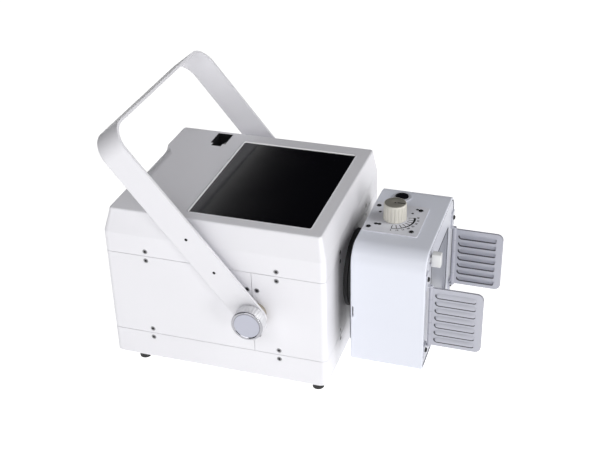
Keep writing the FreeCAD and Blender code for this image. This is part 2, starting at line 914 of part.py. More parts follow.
def pivot_brackets():
    """Plates inside the long walls, each with the stud that the handle turns on."""
    inner = half_width - wall
    half_x = pivot_bracket_length / 2
    half_z = pivot_bracket_height / 2
    base = side_plate(inner - pivot_bracket_thickness, inner, pivot_x - half_x, pivot_x + half_x,
                      pivot_z - half_z, pivot_z + half_z, corner_radius)
    stud = rod(pivot_stud_radius, Vector(pivot_x, inner, pivot_z), Y_AXIS, stud_end_y - inner)
    bracket = base.fuse(stud)
    return [bracket, mirrored(bracket)]


def pivot_spacers():
    """Flanged spacers between the case and the handle, with a spigot through the wall."""
    inner = half_width - wall
    spigot = tube(pivot_spigot_radius, pivot_stud_radius + pivot_fit, Vector(pivot_x, inner, pivot_z),
                  Y_AXIS, wall)
    flange = tube(pivot_bush_radius, pivot_stud_radius + pivot_fit, Vector(pivot_x, half_width, pivot_z),
                  Y_AXIS, washer_y - half_width)
    spacer = spigot.fuse(flange)
    return [spacer, mirrored(spacer)]


def friction_washers():
    washer = tube(washer_radius, pivot_stud_radius + pivot_fit, Vector(pivot_x, washer_y, pivot_z),
                  Y_AXIS, washer_thickness)
    return [washer, mirrored(washer)]


def strap_frame(half_y, top, radius):
    """Outline of the handle seen from the front, extruded over the strap's width."""
    wire = loop(-half_y, half_y, -strap_width, top, [1, 1, radius, radius])
    wire.rotate(Vector(0, 0, 0), X_AXIS, 90)
    wire.rotate(Vector(0, 0, 0), Z_AXIS, 90)
    wire.translate(Vector(-strap_width / 2, 0, 0))
    return Part.Face(wire).extrude(Vector(strap_width, 0, 0))


def handle_bail():
    """Carrying handle: flat strip bent to a U, with round ends and two holes in each arm."""
    outer = strap_frame(strap_outer_y, handle_reach, handle_bend_radius)
    inner = strap_frame(strap_inner_y, handle_reach - strap_thickness, handle_bend_radius - strap_thickness)
    half = strap_width / 2
    ends = rod(half, Vector(0, -case_width, 0), Y_AXIS, 2 * case_width)
    upper = box(-half, half, -case_width, case_width, 0, 2 * handle_reach)
    bail = outer.cut(inner).common(ends.fuse(upper))
    holes = [rod(pivot_stud_radius + pivot_fit, Vector(0, -case_width, 0), Y_AXIS, 2 * case_width)]
    for height in (strap_hole_near, strap_hole_far):
        holes.append(rod(strap_hole_radius, Vector(0, -case_width, height), Y_AXIS, 2 * case_width))
    bail = bail.cut(holes)
    bail.rotate(Vector(0, 0, 0), Y_AXIS, -handle_tilt)
    bail.translate(Vector(pivot_x, 0, pivot_z))
    return bail


def vee_groove(radius, depth, length):
    """Cutter for one groove of a grip: a triangle at the radius, along +Z."""
    out = radius + depth
    corners = [Vector(radius - depth, 0, 0), Vector(out, -2 * depth, 0), Vector(out, 2 * depth, 0)]
    return Part.Face(Part.makePolygon(corners + corners[:1])).extrude(Vector(0, 0, length))


def clamp_knob():
    """Fluted clamp knob with a recess for its disc, drawn on the far side."""
    start = strap_outer_y + face_gap
    collar = rod(clamp_collar_radius, Vector(0, start, 0), Y_AXIS, clamp_collar)
    grip_start = start + clamp_collar
    grip = rod(clamp_knob_radius, Vector(0, grip_start, 0), Y_AXIS, clamp_knob_length - clamp_collar)
    grooves = []
    groove_end = clamp_knob_length - clamp_collar - 2 * clamp_rim
    for index in range(clamp_knob_flutes):
        groove = vee_groove(clamp_knob_radius, clamp_flute_depth, groove_end)
        groove.rotate(Vector(0, 0, 0), X_AXIS, -90)
        groove.rotate(Vector(0, 0, 0), Y_AXIS, 360 * index / clamp_knob_flutes)
        groove.translate(Vector(0, grip_start + clamp_rim, 0))
        grooves.append(groove)
    bore = rod(pivot_stud_radius + pivot_fit, Vector(0, start, 0), Y_AXIS, clamp_bore_depth)
    recess = rod(inlay_radius + shaft_fit, Vector(0, start + clamp_knob_length - inlay_recess, 0),
                 Y_AXIS, inlay_recess)
    knob = collar.fuse(grip).cut(grooves + [bore, recess])
    knob.translate(Vector(pivot_x, 0, pivot_z))
    return knob


def knob_disc():
    start = strap_outer_y + face_gap + clamp_knob_length - inlay_recess
    return rod(inlay_radius, Vector(pivot_x, start, pivot_z), Y_AXIS, inlay_thickness)


def swivel_flange():
    """Flange on the case's front end, with the hub that the collimator turns on."""
    flange = rod(swivel_radius, Vector(half_length, 0, beam_z), X_AXIS, swivel_flange_thickness)
    hub = rod(swivel_hub_radius, Vector(half_length, 0, beam_z), X_AXIS, hub_end_x - half_length)
    bore = rod(beam_tube_radius + shaft_fit, Vector(half_length, 0, beam_z), X_AXIS, hub_end_x - half_length)
    return flange.fuse(hub).cut([bore, screw_pockets(flange_screw_places())])


def retaining_ring():
    return tube(retainer_radius, beam_tube_radius + shaft_fit, Vector(hub_end_x, 0, beam_z),
                X_AXIS, retainer_thickness)


def swivel_ring():
    """Ring behind the collimator that runs on the hub, held by the retaining ring."""
    start = half_length + swivel_flange_thickness + swivel_ring_gap
    length = mount_plate_x - start
    ring = tube(swivel_radius, swivel_hub_radius + swivel_fit, Vector(start, 0, beam_z), X_AXIS, length)
    counterbore_x = hub_end_x - retainer_gap
    counterbore = rod(retainer_radius + retainer_gap, Vector(counterbore_x, 0, beam_z), X_AXIS,
                      mount_plate_x - counterbore_x)
    return ring.cut(counterbore)


def mount_plate():
    """Rear plate of the collimator, with a spigot that closes the housing's end."""
    body = end_plate(mount_plate_x, collimator_rear_x, collimator_half_width - mount_plate_side_inset,
                     collimator_bottom_z + mount_plate_bottom_inset,
                     collimator_top_z - mount_plate_top_inset,
                     collimator_top_radius, mount_plate_bottom_radius)
    spigot = collimator_outline(collimator_wall, collimator_rear_x, spigot_end_x)
    hole = rod(beam_hole_radius, Vector(mount_plate_x, 0, beam_z), X_AXIS, spigot_end_x - mount_plate_x)
    return body.fuse(spigot).cut(hole)


def collimator_outline(inset, x0, x1):
    return end_plate(x0, x1, collimator_width / 2 - inset, collimator_bottom_z + inset,
                     collimator_top_z - inset, collimator_top_radius - inset,
                     collimator_bottom_radius - inset)


def collimator_housing():
    """Extruded housing with large upper corners, open at both ends."""
    outer = collimator_outline(0, collimator_rear_x, collimator_front_x)
    end_edges = []
    for edge in outer.Edges:
        if edge.BoundBox.XLength < 0.001:
            end_edges.append(edge)
    outer = outer.makeChamfer(collimator_edge_chamfer, end_edges)
    inner = collimator_outline(collimator_wall, collimator_rear_x - 1, collimator_front_x + 1)
    top = collimator_top_z - collimator_wall
    shaft = rod(bush_radius, Vector(dial_x, dial_y, top), Z_AXIS, collimator_wall)
    button = rod(switch_barrel_radius, Vector(button_x, button_y, top), Z_AXIS, collimator_wall)
    slot = box(side_slot_x - side_slot_width / 2, side_slot_x + side_slot_width / 2,
               -collimator_width / 2, -collimator_width / 2 + collimator_wall,
               side_slot_z - side_slot_height / 2, side_slot_z + side_slot_height / 2)
    return outer.cut([inner, shaft, button, slot, dial_screw_pockets()])


def exit_plate():
    """Front plate of the collimator, set back a little in the housing."""
    body = collimator_outline(collimator_wall, exit_face_x - exit_plate_thickness, exit_face_x)
    window = end_plate(exit_face_x - exit_plate_thickness, exit_face_x, window_width / 2,
                       window_z - window_height / 2, window_z + window_height / 2, 1, 1)
    half = button_stem_size / 2 + catch_fit
    stem = box(exit_face_x - exit_plate_thickness, exit_face_x, catch_y - half, catch_y + half,
               catch_z - half, catch_z + half)
    return body.cut([window, stem])


def exit_window():
    x1 = exit_face_x - exit_plate_thickness
    half_y = window_width / 2 + window_lip
    half_z = window_height / 2 + window_lip
    return end_plate(x1 - window_thickness, x1, half_y, window_z - half_z, window_z + half_z, 1, 1)


def hinge_bracket(lug_z, low, high):
    """Screwed foot on the exit face with an ear for the hinge pin, on the far side."""
    y0 = bracket_screw_y - bracket_width / 2
    foot = box(exit_face_x, exit_face_x + bracket_thickness, y0, y0 + bracket_width, low, high)
    ear = box(exit_face_x, hinge_x, wing_y - hinge_barrel_radius, wing_y + hinge_barrel_radius,
              lug_z, lug_z + bracket_thickness)
    nose = rod(hinge_barrel_radius, Vector(hinge_x, wing_y, lug_z), Z_AXIS, bracket_thickness)
    pin = rod(hinge_pin_radius, Vector(hinge_x, wing_y, lug_z), Z_AXIS, bracket_thickness)
    return foot.fuse([ear, nose]).cut(pin)


def hinge_brackets():
    half = bracket_height / 2
    upper_lug = wing_top_z + hinge_end_gap
    lower_lug = wing_bottom_z - hinge_end_gap - bracket_thickness
    upper = hinge_bracket(upper_lug, upper_lug, bracket_screw_z_top + half)
    lower = hinge_bracket(lower_lug, bracket_screw_z_bottom - half, bracket_screw_z_bottom + half)
    return [upper, lower, mirrored(upper), mirrored(lower)]


def bracket_screws():
    """Pan-head screws that hold the hinge brackets."""
    screws = []
    start = exit_face_x + bracket_thickness
    for y in (-bracket_screw_y, bracket_screw_y):
        for z in (bracket_screw_z_top, bracket_screw_z_bottom):
            half = pan_head_height / 2
            base = rod(pan_head_radius, Vector(start, y, z), X_AXIS, half)
            dome = Part.makeCone(pan_head_radius, pan_head_radius - half, half, Vector(start + half, y, z), X_AXIS)
            screws.append(base.fuse(dome))
    return screws


def hinge_pins():
    low = wing_bottom_z - hinge_end_gap - bracket_thickness
    high = wing_top_z + hinge_end_gap + bracket_thickness
    pin = rod(hinge_pin_radius, Vector(hinge_x, wing_y, low), Z_AXIS, high - low)
    return [pin, mirrored(pin)]


def wing():
    """Guard wing on the far side: a plate with pressed beads and a hinge barrel."""
    half = wing_thickness / 2
    body = side_plate(wing_y - half, wing_y + half, hinge_x - 2 * wing_corner_radius, wing_reach,
                      wing_bottom_z, wing_top_z, wing_corner_radius)
    body = body.cut(box(0, hinge_x, 0, case_width, 0, case_top))
    barrel = rod(hinge_barrel_radius, Vector(hinge_x, wing_y, wing_bottom_z), Z_AXIS, wing_height)
    beads = []
    dents = []
    x = louvre_start_x + louvre_length / 2
    for index in range(louvre_count):
        z = wing_bottom_z + wing_height / 2 + (index - (louvre_count - 1) / 2) * louvre_pitch
        beads.append(obround(louvre_length, louvre_height, louvre_rise, (x, z), wing_y + half))
        dents.append(obround(louvre_length - wing_thickness, louvre_height - wing_thickness, louvre_rise,
                             (x, z), wing_y - half))
    bore = rod(hinge_pin_radius + hinge_fit, Vector(hinge_x, wing_y, wing_bottom_z), Z_AXIS, wing_height)
    return body.fuse([barrel] + beads).cut(dents + [bore])


def release_button():
    """Push button on the exit face, on a square stem through the plate."""
    x0 = exit_face_x + catch_lift
    head = box(x0, x0 + catch_length, catch_y - catch_width / 2, catch_y + catch_width / 2,
               catch_bottom_z, catch_bottom_z + catch_height)
    front = []
    for edge in head.Edges:
        if edge.BoundBox.XMin > x0 + catch_length - 0.001:
            front.append(edge)
    head = head.makeFillet(button_edge_radius, front)
    half = button_stem_size / 2
    stem = box(x0 - catch_stem_length, x0, catch_y - half, catch_y + half, catch_z - half, catch_z + half)
    return head.fuse(stem)


def dial_screw_places():
    half = dial_screw_spacing / 2
    z = collimator_top_z + dial_plate_thickness
    return [(Vector(dial_x + i * half, dial_y + j * half, z), Z_AXIS) for i in (-1, 1) for j in (-1, 1)]


def dial_plate():
    """Scale plate under the field knob."""
    body = plate(dial_plate_rear_x, dial_plate_rear_x + dial_plate_length, dial_y - dial_plate_width / 2,
                 dial_y + dial_plate_width / 2, collimator_top_z,
                 collimator_top_z + dial_plate_thickness, dial_plate_radius)
    hole = rod(bush_radius, Vector(dial_x, dial_y, collimator_top_z), Z_AXIS, dial_plate_thickness)
    return body.cut([hole, dial_screw_pockets()])


def dial_screw_pockets():
    """Pockets under the dial screws, through the plate and into the housing's top."""
    return screw_pockets(dial_screw_places(), dial_screw_head_radius)


def dial_screws():
    return screw_heads(dial_screw_places(), dial_screw_head_radius)


def shaft_bush():
    top = collimator_top_z + dial_plate_thickness
    return tube(bush_radius, shaft_radius + shaft_fit, Vector(dial_x, dial_y, top - bush_length),
                Z_AXIS, bush_length)


def field_knob():
    """Fluted knob with a flared skirt and a recess in its top for the cap."""
    base = collimator_top_z + dial_plate_thickness + knob_gap
    at = Vector(dial_x, dial_y, base)
    skirt = Part.makeCone(knob_skirt_radius, knob_radius, knob_skirt_height, at)
    body = Part.makeCone(knob_radius, knob_top_radius, knob_height - knob_skirt_height,
                         at + Z_AXIS * knob_skirt_height)
    grooves = []
    groove_height = knob_height - knob_skirt_height - knob_rim
    for index in range(knob_flutes):
        groove = vee_groove(knob_radius, knob_flute_depth, groove_height)
        groove.rotate(Vector(0, 0, 0), Z_AXIS, 360 * index / knob_flutes)
        groove.translate(at + Z_AXIS * knob_skirt_height)
        grooves.append(groove)
    bore = rod(shaft_radius, at, Z_AXIS, shaft_top_z - base)
    recess = rod(knob_cap_radius, at + Z_AXIS * (knob_height - knob_cap_thickness), Z_AXIS, knob_cap_thickness)
    return skirt.fuse(body).cut(grooves + [bore, recess])


def knob_cap():
    """Cap with the pointer groove that runs out from its middle."""
    top = collimator_top_z + dial_plate_thickness + knob_gap + knob_height
    cap = rod(knob_cap_radius, Vector(dial_x, dial_y, top - knob_cap_thickness), Z_AXIS, knob_cap_thickness)
    groove = box(0, 2 * knob_cap_radius, -pointer_width / 2, pointer_width / 2,
                 top - knob_cap_thickness / 2, top + 1)
    groove.rotate(Vector(0, 0, 0), Z_AXIS, pointer_angle)
    groove.translate(Vector(dial_x, dial_y, 0))
    return cap.cut(groove)


def polar(radius, angle):
    return Vector(radius * math.cos(angle), radius * math.sin(angle), 0)


def involute_half_angle(radius):
    """Half of a tooth's angle at a radius, less for the backlash."""
    base = pitch_radius * math.cos(math.radians(pressure_angle))
    slope = math.acos(min(1.0, base / radius))
    involute = math.tan(slope) - slope
    pitch_slope = math.radians(pressure_angle)
    pitch_involute = math.tan(pitch_slope) - pitch_slope
    return tooth_thickness / (2 * pitch_radius) + pitch_involute - involute


def pinion_outline():
    """Involute teeth: each flank is an arc through three points of its involute."""
    base = pitch_radius * math.cos(math.radians(pressure_angle))
    tip = pitch_radius + gear_module
    root = pitch_radius - 1.25 * gear_module
    middle = (base + tip) / 2
    half = {radius: involute_half_angle(radius) for radius in (base, middle, tip)}
    step = 2 * math.pi / pinion_teeth
    edges = []
    for index in range(pinion_teeth):
        centre = index * step
        left = [polar(radius, centre - half[radius]) for radius in (base, middle, tip)]
        right = [polar(radius, centre + half[radius]) for radius in (tip, middle, base)]
        foot_in = polar(root, centre - half[base])
        foot_out = polar(root, centre + half[base])
        next_foot = polar(root, centre + step - half[base])
        edges.append(Part.LineSegment(foot_in, left[0]).toShape())
        edges.append(Part.Arc(*left).toShape())
        edges.append(Part.LineSegment(left[2], right[0]).toShape())
        edges.append(Part.Arc(*right).toShape())
        edges.append(Part.LineSegment(right[2], foot_out).toShape())
        edges.append(Part.LineSegment(foot_out, next_foot).toShape())
    return Part.Wire(edges)


def pinion_shaft():
    """Knob shaft with its pinion; a tooth points along the line across both racks."""
    gear = Part.Face(pinion_outline()).extrude(Vector(0, 0, gear_width))
    gear.translate(Vector(dial_x, dial_y, gear_bottom_z))
    shaft = rod(shaft_radius, Vector(dial_x, dial_y, gear_plate_bottom), Z_AXIS,
                shaft_top_z - gear_plate_bottom)
    return gear.fuse(shaft)


def rack_bar(side, start_y, end_y, first, last, bottom):
    """Toothed bar that hangs by its T-shaped top; side is +1 for the bar on the +X side."""
    root = dial_x + side * (pitch_radius + 1.25 * gear_module)
    tip = dial_x + side * (pitch_radius - gear_module)
    back = root + side * rack_body
    slope = math.tan(math.radians(pressure_angle))
    tip_half = tooth_thickness / 2 - gear_module * slope
    root_half = tooth_thickness / 2 + 1.25 * gear_module * slope
    pitch = math.pi * gear_module
    teeth = []
    for index in range(first, last + 1):
        y = dial_y + (index + 0.5) * pitch
        corners = [Vector(back, y - root_half, 0), Vector(root, y - root_half, 0), Vector(tip, y - tip_half, 0),
                   Vector(tip, y + tip_half, 0), Vector(root, y + root_half, 0), Vector(back, y + root_half, 0)]
        tooth = Part.Face(Part.makePolygon(corners + corners[:1])).extrude(Vector(0, 0, gear_width))
        tooth.translate(Vector(0, 0, gear_bottom_z))
        teeth.append(tooth)
    low = min(root, back)
    high = max(root, back)
    middle = (low + high) / 2
    gear_top = gear_bottom_z + gear_width
    bar = box(low, high, start_y, end_y, bottom, gear_top)
    neck = box(middle - neck_width / 2, middle + neck_width / 2, start_y, end_y, gear_top, gear_top + neck_height)
    head = box(low, high, start_y, end_y, gear_top + neck_height, gear_top + neck_height + neck_width)
    return bar.fuse(teeth + [neck, head])


def shutter_back():
    """Shutter leaf of the far side, straight under its rack on the +X side."""
    end = blade_open + blade_width
    pitch = math.pi * gear_module
    last = math.ceil((rack_travel + rack_over_travel) / pitch) - 1
    bar = rack_bar(1, dial_y - rack_over_travel, end, -2, last, bar_bottom_z)
    back = dial_x + pitch_radius + 1.25 * gear_module + rack_body
    leaf = box(back - blade_thickness, back, blade_open, end, blade_bottom_z, bar_bottom_z)
    return bar.fuse(leaf)


def shutter_front():
    """Shutter leaf of the near side, on a web that crosses under the gear plate."""
    start = -blade_open - blade_width
    pitch = math.pi * gear_module
    first = -math.ceil((rack_travel + rack_over_travel) / pitch)
    web_top = blade_top_z + web_thickness
    bar = rack_bar(-1, start, dial_y + rack_over_travel, first, 1, web_top)
    leaf_x = dial_x + pitch_radius + 1.25 * gear_module + rack_body + leaf_gap
    leaf = box(leaf_x, leaf_x + blade_thickness, start, -blade_open, blade_bottom_z, web_top)
    rear = dial_x - pitch_radius - 1.25 * gear_module - rack_body
    web = box(rear, leaf_x + blade_thickness, start, -blade_open - web_inner_margin, blade_top_z, web_top)
    return bar.fuse([leaf, web])


def blade_guides():
    """Two rails under the housing's top with T-slots for the racks."""
    rails = []
    top = collimator_top_z - collimator_wall
    bottom = gear_bottom_z + gear_width + guide_gap
    head_low = gear_bottom_z + gear_width + neck_height - guide_gap
    head_high = gear_bottom_z + gear_width + neck_height + neck_width + guide_gap
    for side in (-1, 1):
        middle = dial_x + side * (pitch_radius + 1.25 * gear_module + rack_body / 2)
        half = rack_body / 2 + guide_gap
        rail = box(middle - half - guide_wall, middle + half + guide_wall, guide_start_y, guide_end_y,
                   bottom, top)
        neck_half = neck_width / 2 + guide_gap
        neck = box(middle - neck_half, middle + neck_half, guide_start_y, guide_end_y, bottom, head_low)
        head = box(middle - half, middle + half, guide_start_y, guide_end_y, head_low, head_high)
        rails.append(rail.cut([neck, head]))
    return rails


def gear_plate():
    """Plate that steadies the shaft's lower end, on two posts from the housing's top."""
    half_x = gear_plate_length / 2
    half_y = gear_plate_width / 2
    top = gear_plate_bottom + gear_plate_thickness
    body = plate(dial_x - half_x, dial_x + half_x, dial_y - half_y, dial_y + half_y,
                 gear_plate_bottom, top, post_radius)
    posts = []
    for side in (-1, 1):
        y = dial_y + side * (half_y - 2 * post_radius)
        posts.append(rod(post_radius, Vector(dial_x, y, top), Z_AXIS, collimator_top_z - collimator_wall - top))
    hole = rod(shaft_radius + shaft_fit, Vector(dial_x, dial_y, gear_plate_bottom), Z_AXIS, gear_plate_thickness)
    return body.fuse(posts).cut(hole)


def mirror():
    """Thin mirror across the beam at 45 degrees that throws the lamp's light forwards."""
    half = mirror_length / 2
    sheet = box(-half, half, -mirror_thickness / 2, mirror_thickness / 2, -mirror_width / 2, mirror_width / 2)
    sheet.rotate(Vector(0, 0, 0), Z_AXIS, -45)
    sheet.translate(Vector(mirror_x, 0, beam_z))
    return sheet


def mirror_bracket():
    """Two cheeks on the rear plate that hold the mirror's upper and lower edges."""
    reach = mirror_length / (2 * math.sqrt(2)) + cheek_margin
    half = beam_tube_radius - beam_tube_wall
    corners = [Vector(spigot_end_x, -half, 0), Vector(mirror_x + reach, -half, 0),
               Vector(mirror_x + reach, -reach + 2 * cheek_margin, 0),
               Vector(mirror_x - reach + 2 * cheek_margin, half, 0), Vector(spigot_end_x, half, 0)]
    cheek = Part.Face(Part.makePolygon(corners + corners[:1])).extrude(Vector(0, 0, cheek_thickness))
    lower = cheek.copy()
    lower.translate(Vector(0, 0, beam_z - mirror_width / 2 - cheek_thickness))
    upper = cheek.copy()
    upper.translate(Vector(0, 0, beam_z + mirror_width / 2))
    return [lower, upper]


def lamp():
    """Field lamp in its socket on the housing's far wall, aimed at the mirror."""
    end = collimator_width / 2 - collimator_wall
    socket = rod(lamp_radius, Vector(mirror_x, end - lamp_socket_length, beam_z), Y_AXIS, lamp_socket_length)
    start = Vector(mirror_x, end - lamp_socket_length, beam_z)
    bulb = Part.makeCone(lamp_bulb_radius, lamp_bulb_radius / 2, lamp_bulb_length, start, -Y_AXIS)
    return socket.fuse(bulb)


def lamp_switch():
    """Panel switch for the lamp: its bezel on the top and its body below, in one piece."""
    top = collimator_top_z
    under = top - collimator_wall
    bezel = rod(button_skirt_radius, Vector(button_x, button_y, top), Z_AXIS, button_skirt_thickness)
    barrel = rod(switch_barrel_radius, Vector(button_x, button_y, under), Z_AXIS, collimator_wall)
    half = button_body_size / 2
    body = box(button_x - half, button_x + half, button_y - half, button_y + half,
               under - switch_body_depth, under)
    well_bottom = top + button_rise + button_skirt_thickness - button_height - button_travel - button_fit
    well = rod(button_radius, Vector(button_x, button_y, well_bottom), Z_AXIS, top + 3 - well_bottom)
    return bezel.fuse([barrel, body]).cut(well)


def lamp_button():
    """Round push button that works the lamp."""
    bottom = collimator_top_z + button_rise + button_skirt_thickness - button_height
    cap = rod(button_radius - button_fit, Vector(button_x, button_y, bottom), Z_AXIS, button_height)
    rim = []
    for edge in cap.Edges:
        if edge.BoundBox.ZMin > bottom + button_height - 0.001:
            rim.append(edge)
    return cap.makeChamfer(button_edge_radius, rim)


save("top_shell", top_shell())
save("rear_belt_shell", rear_belt_shell())
save("front_belt_shell", front_belt_shell())
save("bottom_tray", bottom_tray())
save("rubber_feet", rubber_feet())
save("foot_screws", foot_screws())
save("case_screws", case_screws())
save("seam_brackets", seam_brackets())
save("screen_glass", screen_glass())
save("display_module", display_module())
save("port_socket", port_socket())
save("port_contacts", port_contacts())
save("chassis_plate", chassis_plate())
save("monoblock_tank", monoblock_tank())
save("tank_lid", tank_lid())
save("beam_tube", beam_tube())
save("power_supply", power_supply())
save("board_standoffs", board_standoffs())
save("control_board", control_board())
save("board_components", board_components())
save("inlet_module", inlet_module())
save("inlet_pins", inlet_pins())
save("power_rocker", power_rocker())
save("fuse_drawer", fuse_drawer())
save("pivot_brackets", pivot_brackets())
save("pivot_spacers", pivot_spacers())
save("friction_washers", friction_washers())
save("handle_bail", handle_bail())
save("clamp_knob_back", clamp_knob())
save("clamp_knob_front", mirrored(clamp_knob()))
save("knob_disc_back", knob_disc())
save("knob_disc_front", mirrored(knob_disc()))
save("swivel_flange", swivel_flange())
save("retaining_ring", retaining_ring())
save("swivel_ring", swivel_ring())
save("mount_plate", mount_plate())
save("collimator_housing", collimator_housing())
save("exit_plate", exit_plate())
save("exit_window", exit_window())
save("hinge_brackets", hinge_brackets())
save("bracket_screws", bracket_screws())
save("hinge_pins", hinge_pins())
save("wing_back", wing())
save("wing_front", mirrored(wing()))
save("release_button", release_button())
save("dial_plate", dial_plate())
save("dial_screws", dial_screws())
save("shaft_bush", shaft_bush())
save("field_knob", field_knob())
save("knob_cap", knob_cap())
save("pinion_shaft", pinion_shaft())
save("shutter_front", shutter_front())
save("shutter_back", shutter_back())
save("blade_guides", blade_guides())
save("gear_plate", gear_plate())
save("mirror", mirror())
save("mirror_bracket", mirror_bracket())
save("lamp", lamp())
save("lamp_switch", lamp_switch())
save("lamp_button", lamp_button())
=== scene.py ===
# %% [markdown]
# # A portable x-ray machine
# A white case about 25 cm long stands on four rubber feet. A flat steel handle swings over it on
# two clamp knobs. A collimator, the box that shapes the beam, hangs on a swivel in front of the
# case, with a field knob on its top and two folding guard wings on its face. The solid parts come
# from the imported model, so this script gives them their finishes, adds the small forms that the
# model leaves out, and sets the camera and the light.

# %% Load the frame
import math

import bmesh
import bpy
import numpy as np
from mathutils import Matrix, Vector


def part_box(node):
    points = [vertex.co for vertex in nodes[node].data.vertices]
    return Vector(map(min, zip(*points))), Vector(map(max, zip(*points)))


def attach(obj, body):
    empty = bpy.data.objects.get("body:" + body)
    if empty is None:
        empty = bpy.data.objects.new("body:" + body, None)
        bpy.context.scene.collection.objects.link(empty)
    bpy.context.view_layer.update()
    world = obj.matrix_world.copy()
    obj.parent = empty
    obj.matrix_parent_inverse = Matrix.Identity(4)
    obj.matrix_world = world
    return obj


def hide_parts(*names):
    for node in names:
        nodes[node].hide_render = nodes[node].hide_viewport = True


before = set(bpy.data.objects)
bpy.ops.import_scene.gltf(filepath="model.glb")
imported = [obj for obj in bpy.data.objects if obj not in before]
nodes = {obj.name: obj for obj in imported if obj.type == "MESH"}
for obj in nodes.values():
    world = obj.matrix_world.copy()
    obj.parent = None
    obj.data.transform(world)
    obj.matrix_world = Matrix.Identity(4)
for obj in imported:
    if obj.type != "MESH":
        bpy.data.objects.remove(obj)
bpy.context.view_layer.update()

# %% [markdown]
# ## The camera
# A camera is a place, a direction and a lens. These came from matching the corners of the case,
# the screen and the collimator with the same corners in the picture, until all of them fell on
# their marks. The picture is 600 pixels wide, and a lens is given against a sensor that is 36 mm
# wide.

# %% Camera
picture_width_px = 600
sensor_mm = 36.0
focal_px = 1130.335
camera_place = Vector((0.41270, -1.03902, 0.77808))
camera_yaw = -0.325149
camera_pitch = 0.532129
camera_roll = -0.0261392


def camera_matrix(yaw, pitch, roll):
    """Columns are the camera's right, its up and the way it looks from, turned by the roll."""
    forward = Vector((math.sin(yaw) * math.cos(pitch), math.cos(yaw) * math.cos(pitch),
                      -math.sin(pitch)))
    right = Vector((math.cos(yaw), -math.sin(yaw), 0))
    up = right.cross(forward)
    turned_right = right * math.cos(roll) + up * math.sin(roll)
    turned_up = up * math.cos(roll) - right * math.sin(roll)
    matrix = Matrix((turned_right, turned_up, -forward)).transposed().to_4x4()
    matrix.translation = camera_place
    return matrix


lens = bpy.data.cameras.new("camera")
lens.sensor_width = sensor_mm
lens.lens = focal_px * sensor_mm / picture_width_px
camera = bpy.data.objects.new("camera", lens)
bpy.context.scene.collection.objects.link(camera)
camera.matrix_world = camera_matrix(camera_yaw, camera_pitch, camera_roll)
bpy.context.scene.camera = camera
print("lens in mm:", round(lens.lens, 2))

# %% [markdown]
# ## The table and the light
# The picture was taken on a glowing white table: the sides are bright, the top is a calm grey,
# and no shadow is dark. A floor that shines does the same: it alone gives a wall about half of
# its light. A soft lamp high over the camera adds the other half and a grey sheen on the top, and
# two lamps on the right light the ends that face away from the camera. The sky stays dark, which
# keeps the screen black, and one lamp far behind is there to be seen in the glass, as a soft pale
# band along its edge. The powers were found with a render for each lamp alone, because light adds
# up.

# %% Floor, lamps and sky
floor_half = 14.0
floor_glow = 1.02
floor_shade = 0.32
key_power = 11.0
low_power = 3.2
right_high_power = 19.0
right_near_power = 8.4
band_power = 5.5


def area_lamp(name, place, target, width, height, power):
    """A flat rectangular white lamp at a place, turned to face a target."""
    data = bpy.data.lights.new(name, "AREA")
    data.shape = "RECTANGLE"
    data.size = width
    data.size_y = height
    data.energy = power
    lamp = bpy.data.objects.new(name, data)
    lamp.location = place
    lamp.rotation_mode = "QUATERNION"
    lamp.rotation_quaternion = (Vector(target) - Vector(place)).to_track_quat("-Z", "Y")
    lamp.visible_camera = False
    bpy.context.scene.collection.objects.link(lamp)


machine_middle = (0.03, 0.0, 0.11)
area_lamp("key_lamp", (0.0, -1.5, 1.2), machine_middle, 1.4, 0.8, key_power)
area_lamp("low_lamp", (0.1, -1.9, 0.25), machine_middle, 1.6, 0.4, low_power)
area_lamp("right_high_lamp", (1.6, 0.0, 1.3), machine_middle, 1.0, 1.0, right_high_power)
area_lamp("right_near_lamp", (1.7, -1.3, 0.35), machine_middle, 0.5, 0.5, right_near_power)
area_lamp("band_lamp", (-1.42, 2.5, 1.6), (-1.42, 2.5, 0.0), 0.7, 1.6, band_power)

floor_mesh = bpy.data.meshes.new("floor")
floor_corners = [(-floor_half, -floor_half, 0), (floor_half, -floor_half, 0),
                 (floor_half, floor_half, 0), (-floor_half, floor_half, 0)]
floor_mesh.from_pydata(floor_corners, [], [(0, 1, 2, 3)])
floor = bpy.data.objects.new("floor", floor_mesh)
bpy.context.scene.collection.objects.link(floor)

floor_material = bpy.data.materials.new("glowing_table")
floor_material.use_nodes = True
floor_shader = floor_material.node_tree.nodes["Principled BSDF"]
floor_shader.inputs["Base Color"].default_value = (floor_shade, floor_shade, floor_shade, 1)
floor_shader.inputs["Roughness"].default_value = 0.7
floor_shader.inputs["Specular IOR Level"].default_value = 0.1
floor_shader.inputs["Emission Color"].default_value = (1, 1, 1, 1)
floor_shader.inputs["Emission Strength"].default_value = floor_glow
floor_mesh.materials.append(floor_material)

sky = bpy.data.worlds.new("studio_sky")
bpy.context.scene.world = sky
sky.use_nodes = True
sky_shader = sky.node_tree.nodes["Background"]
sky_shader.inputs["Color"].default_value = (0.012, 0.012, 0.014, 1)
bpy.context.scene.view_settings.view_transform = "Standard"

# %% [markdown]
# ## One recipe for hard finishes
# Paint, moulded plastic and turned metal share a build-up: a base colour that drifts a little
# over the surface, a fine grain that the light picks up, roughness that is not quite even, and
# edges that are soft and take an edge colour. The Bevel node looks round each point for an edge
# within a radius, so it rounds the light at a sharp corner. Where its normal and the surface's own
# differ, there is an edge, outer or hollow, and the same difference mixes in the edge colour: a
# little wear on an outer edge, and painted shade where a darker edge colour lies in hollow seams,
# grooves and creases. All patterns use Object coordinates, which are metres here.

# %% Finish helpers
drift_size = 0.06


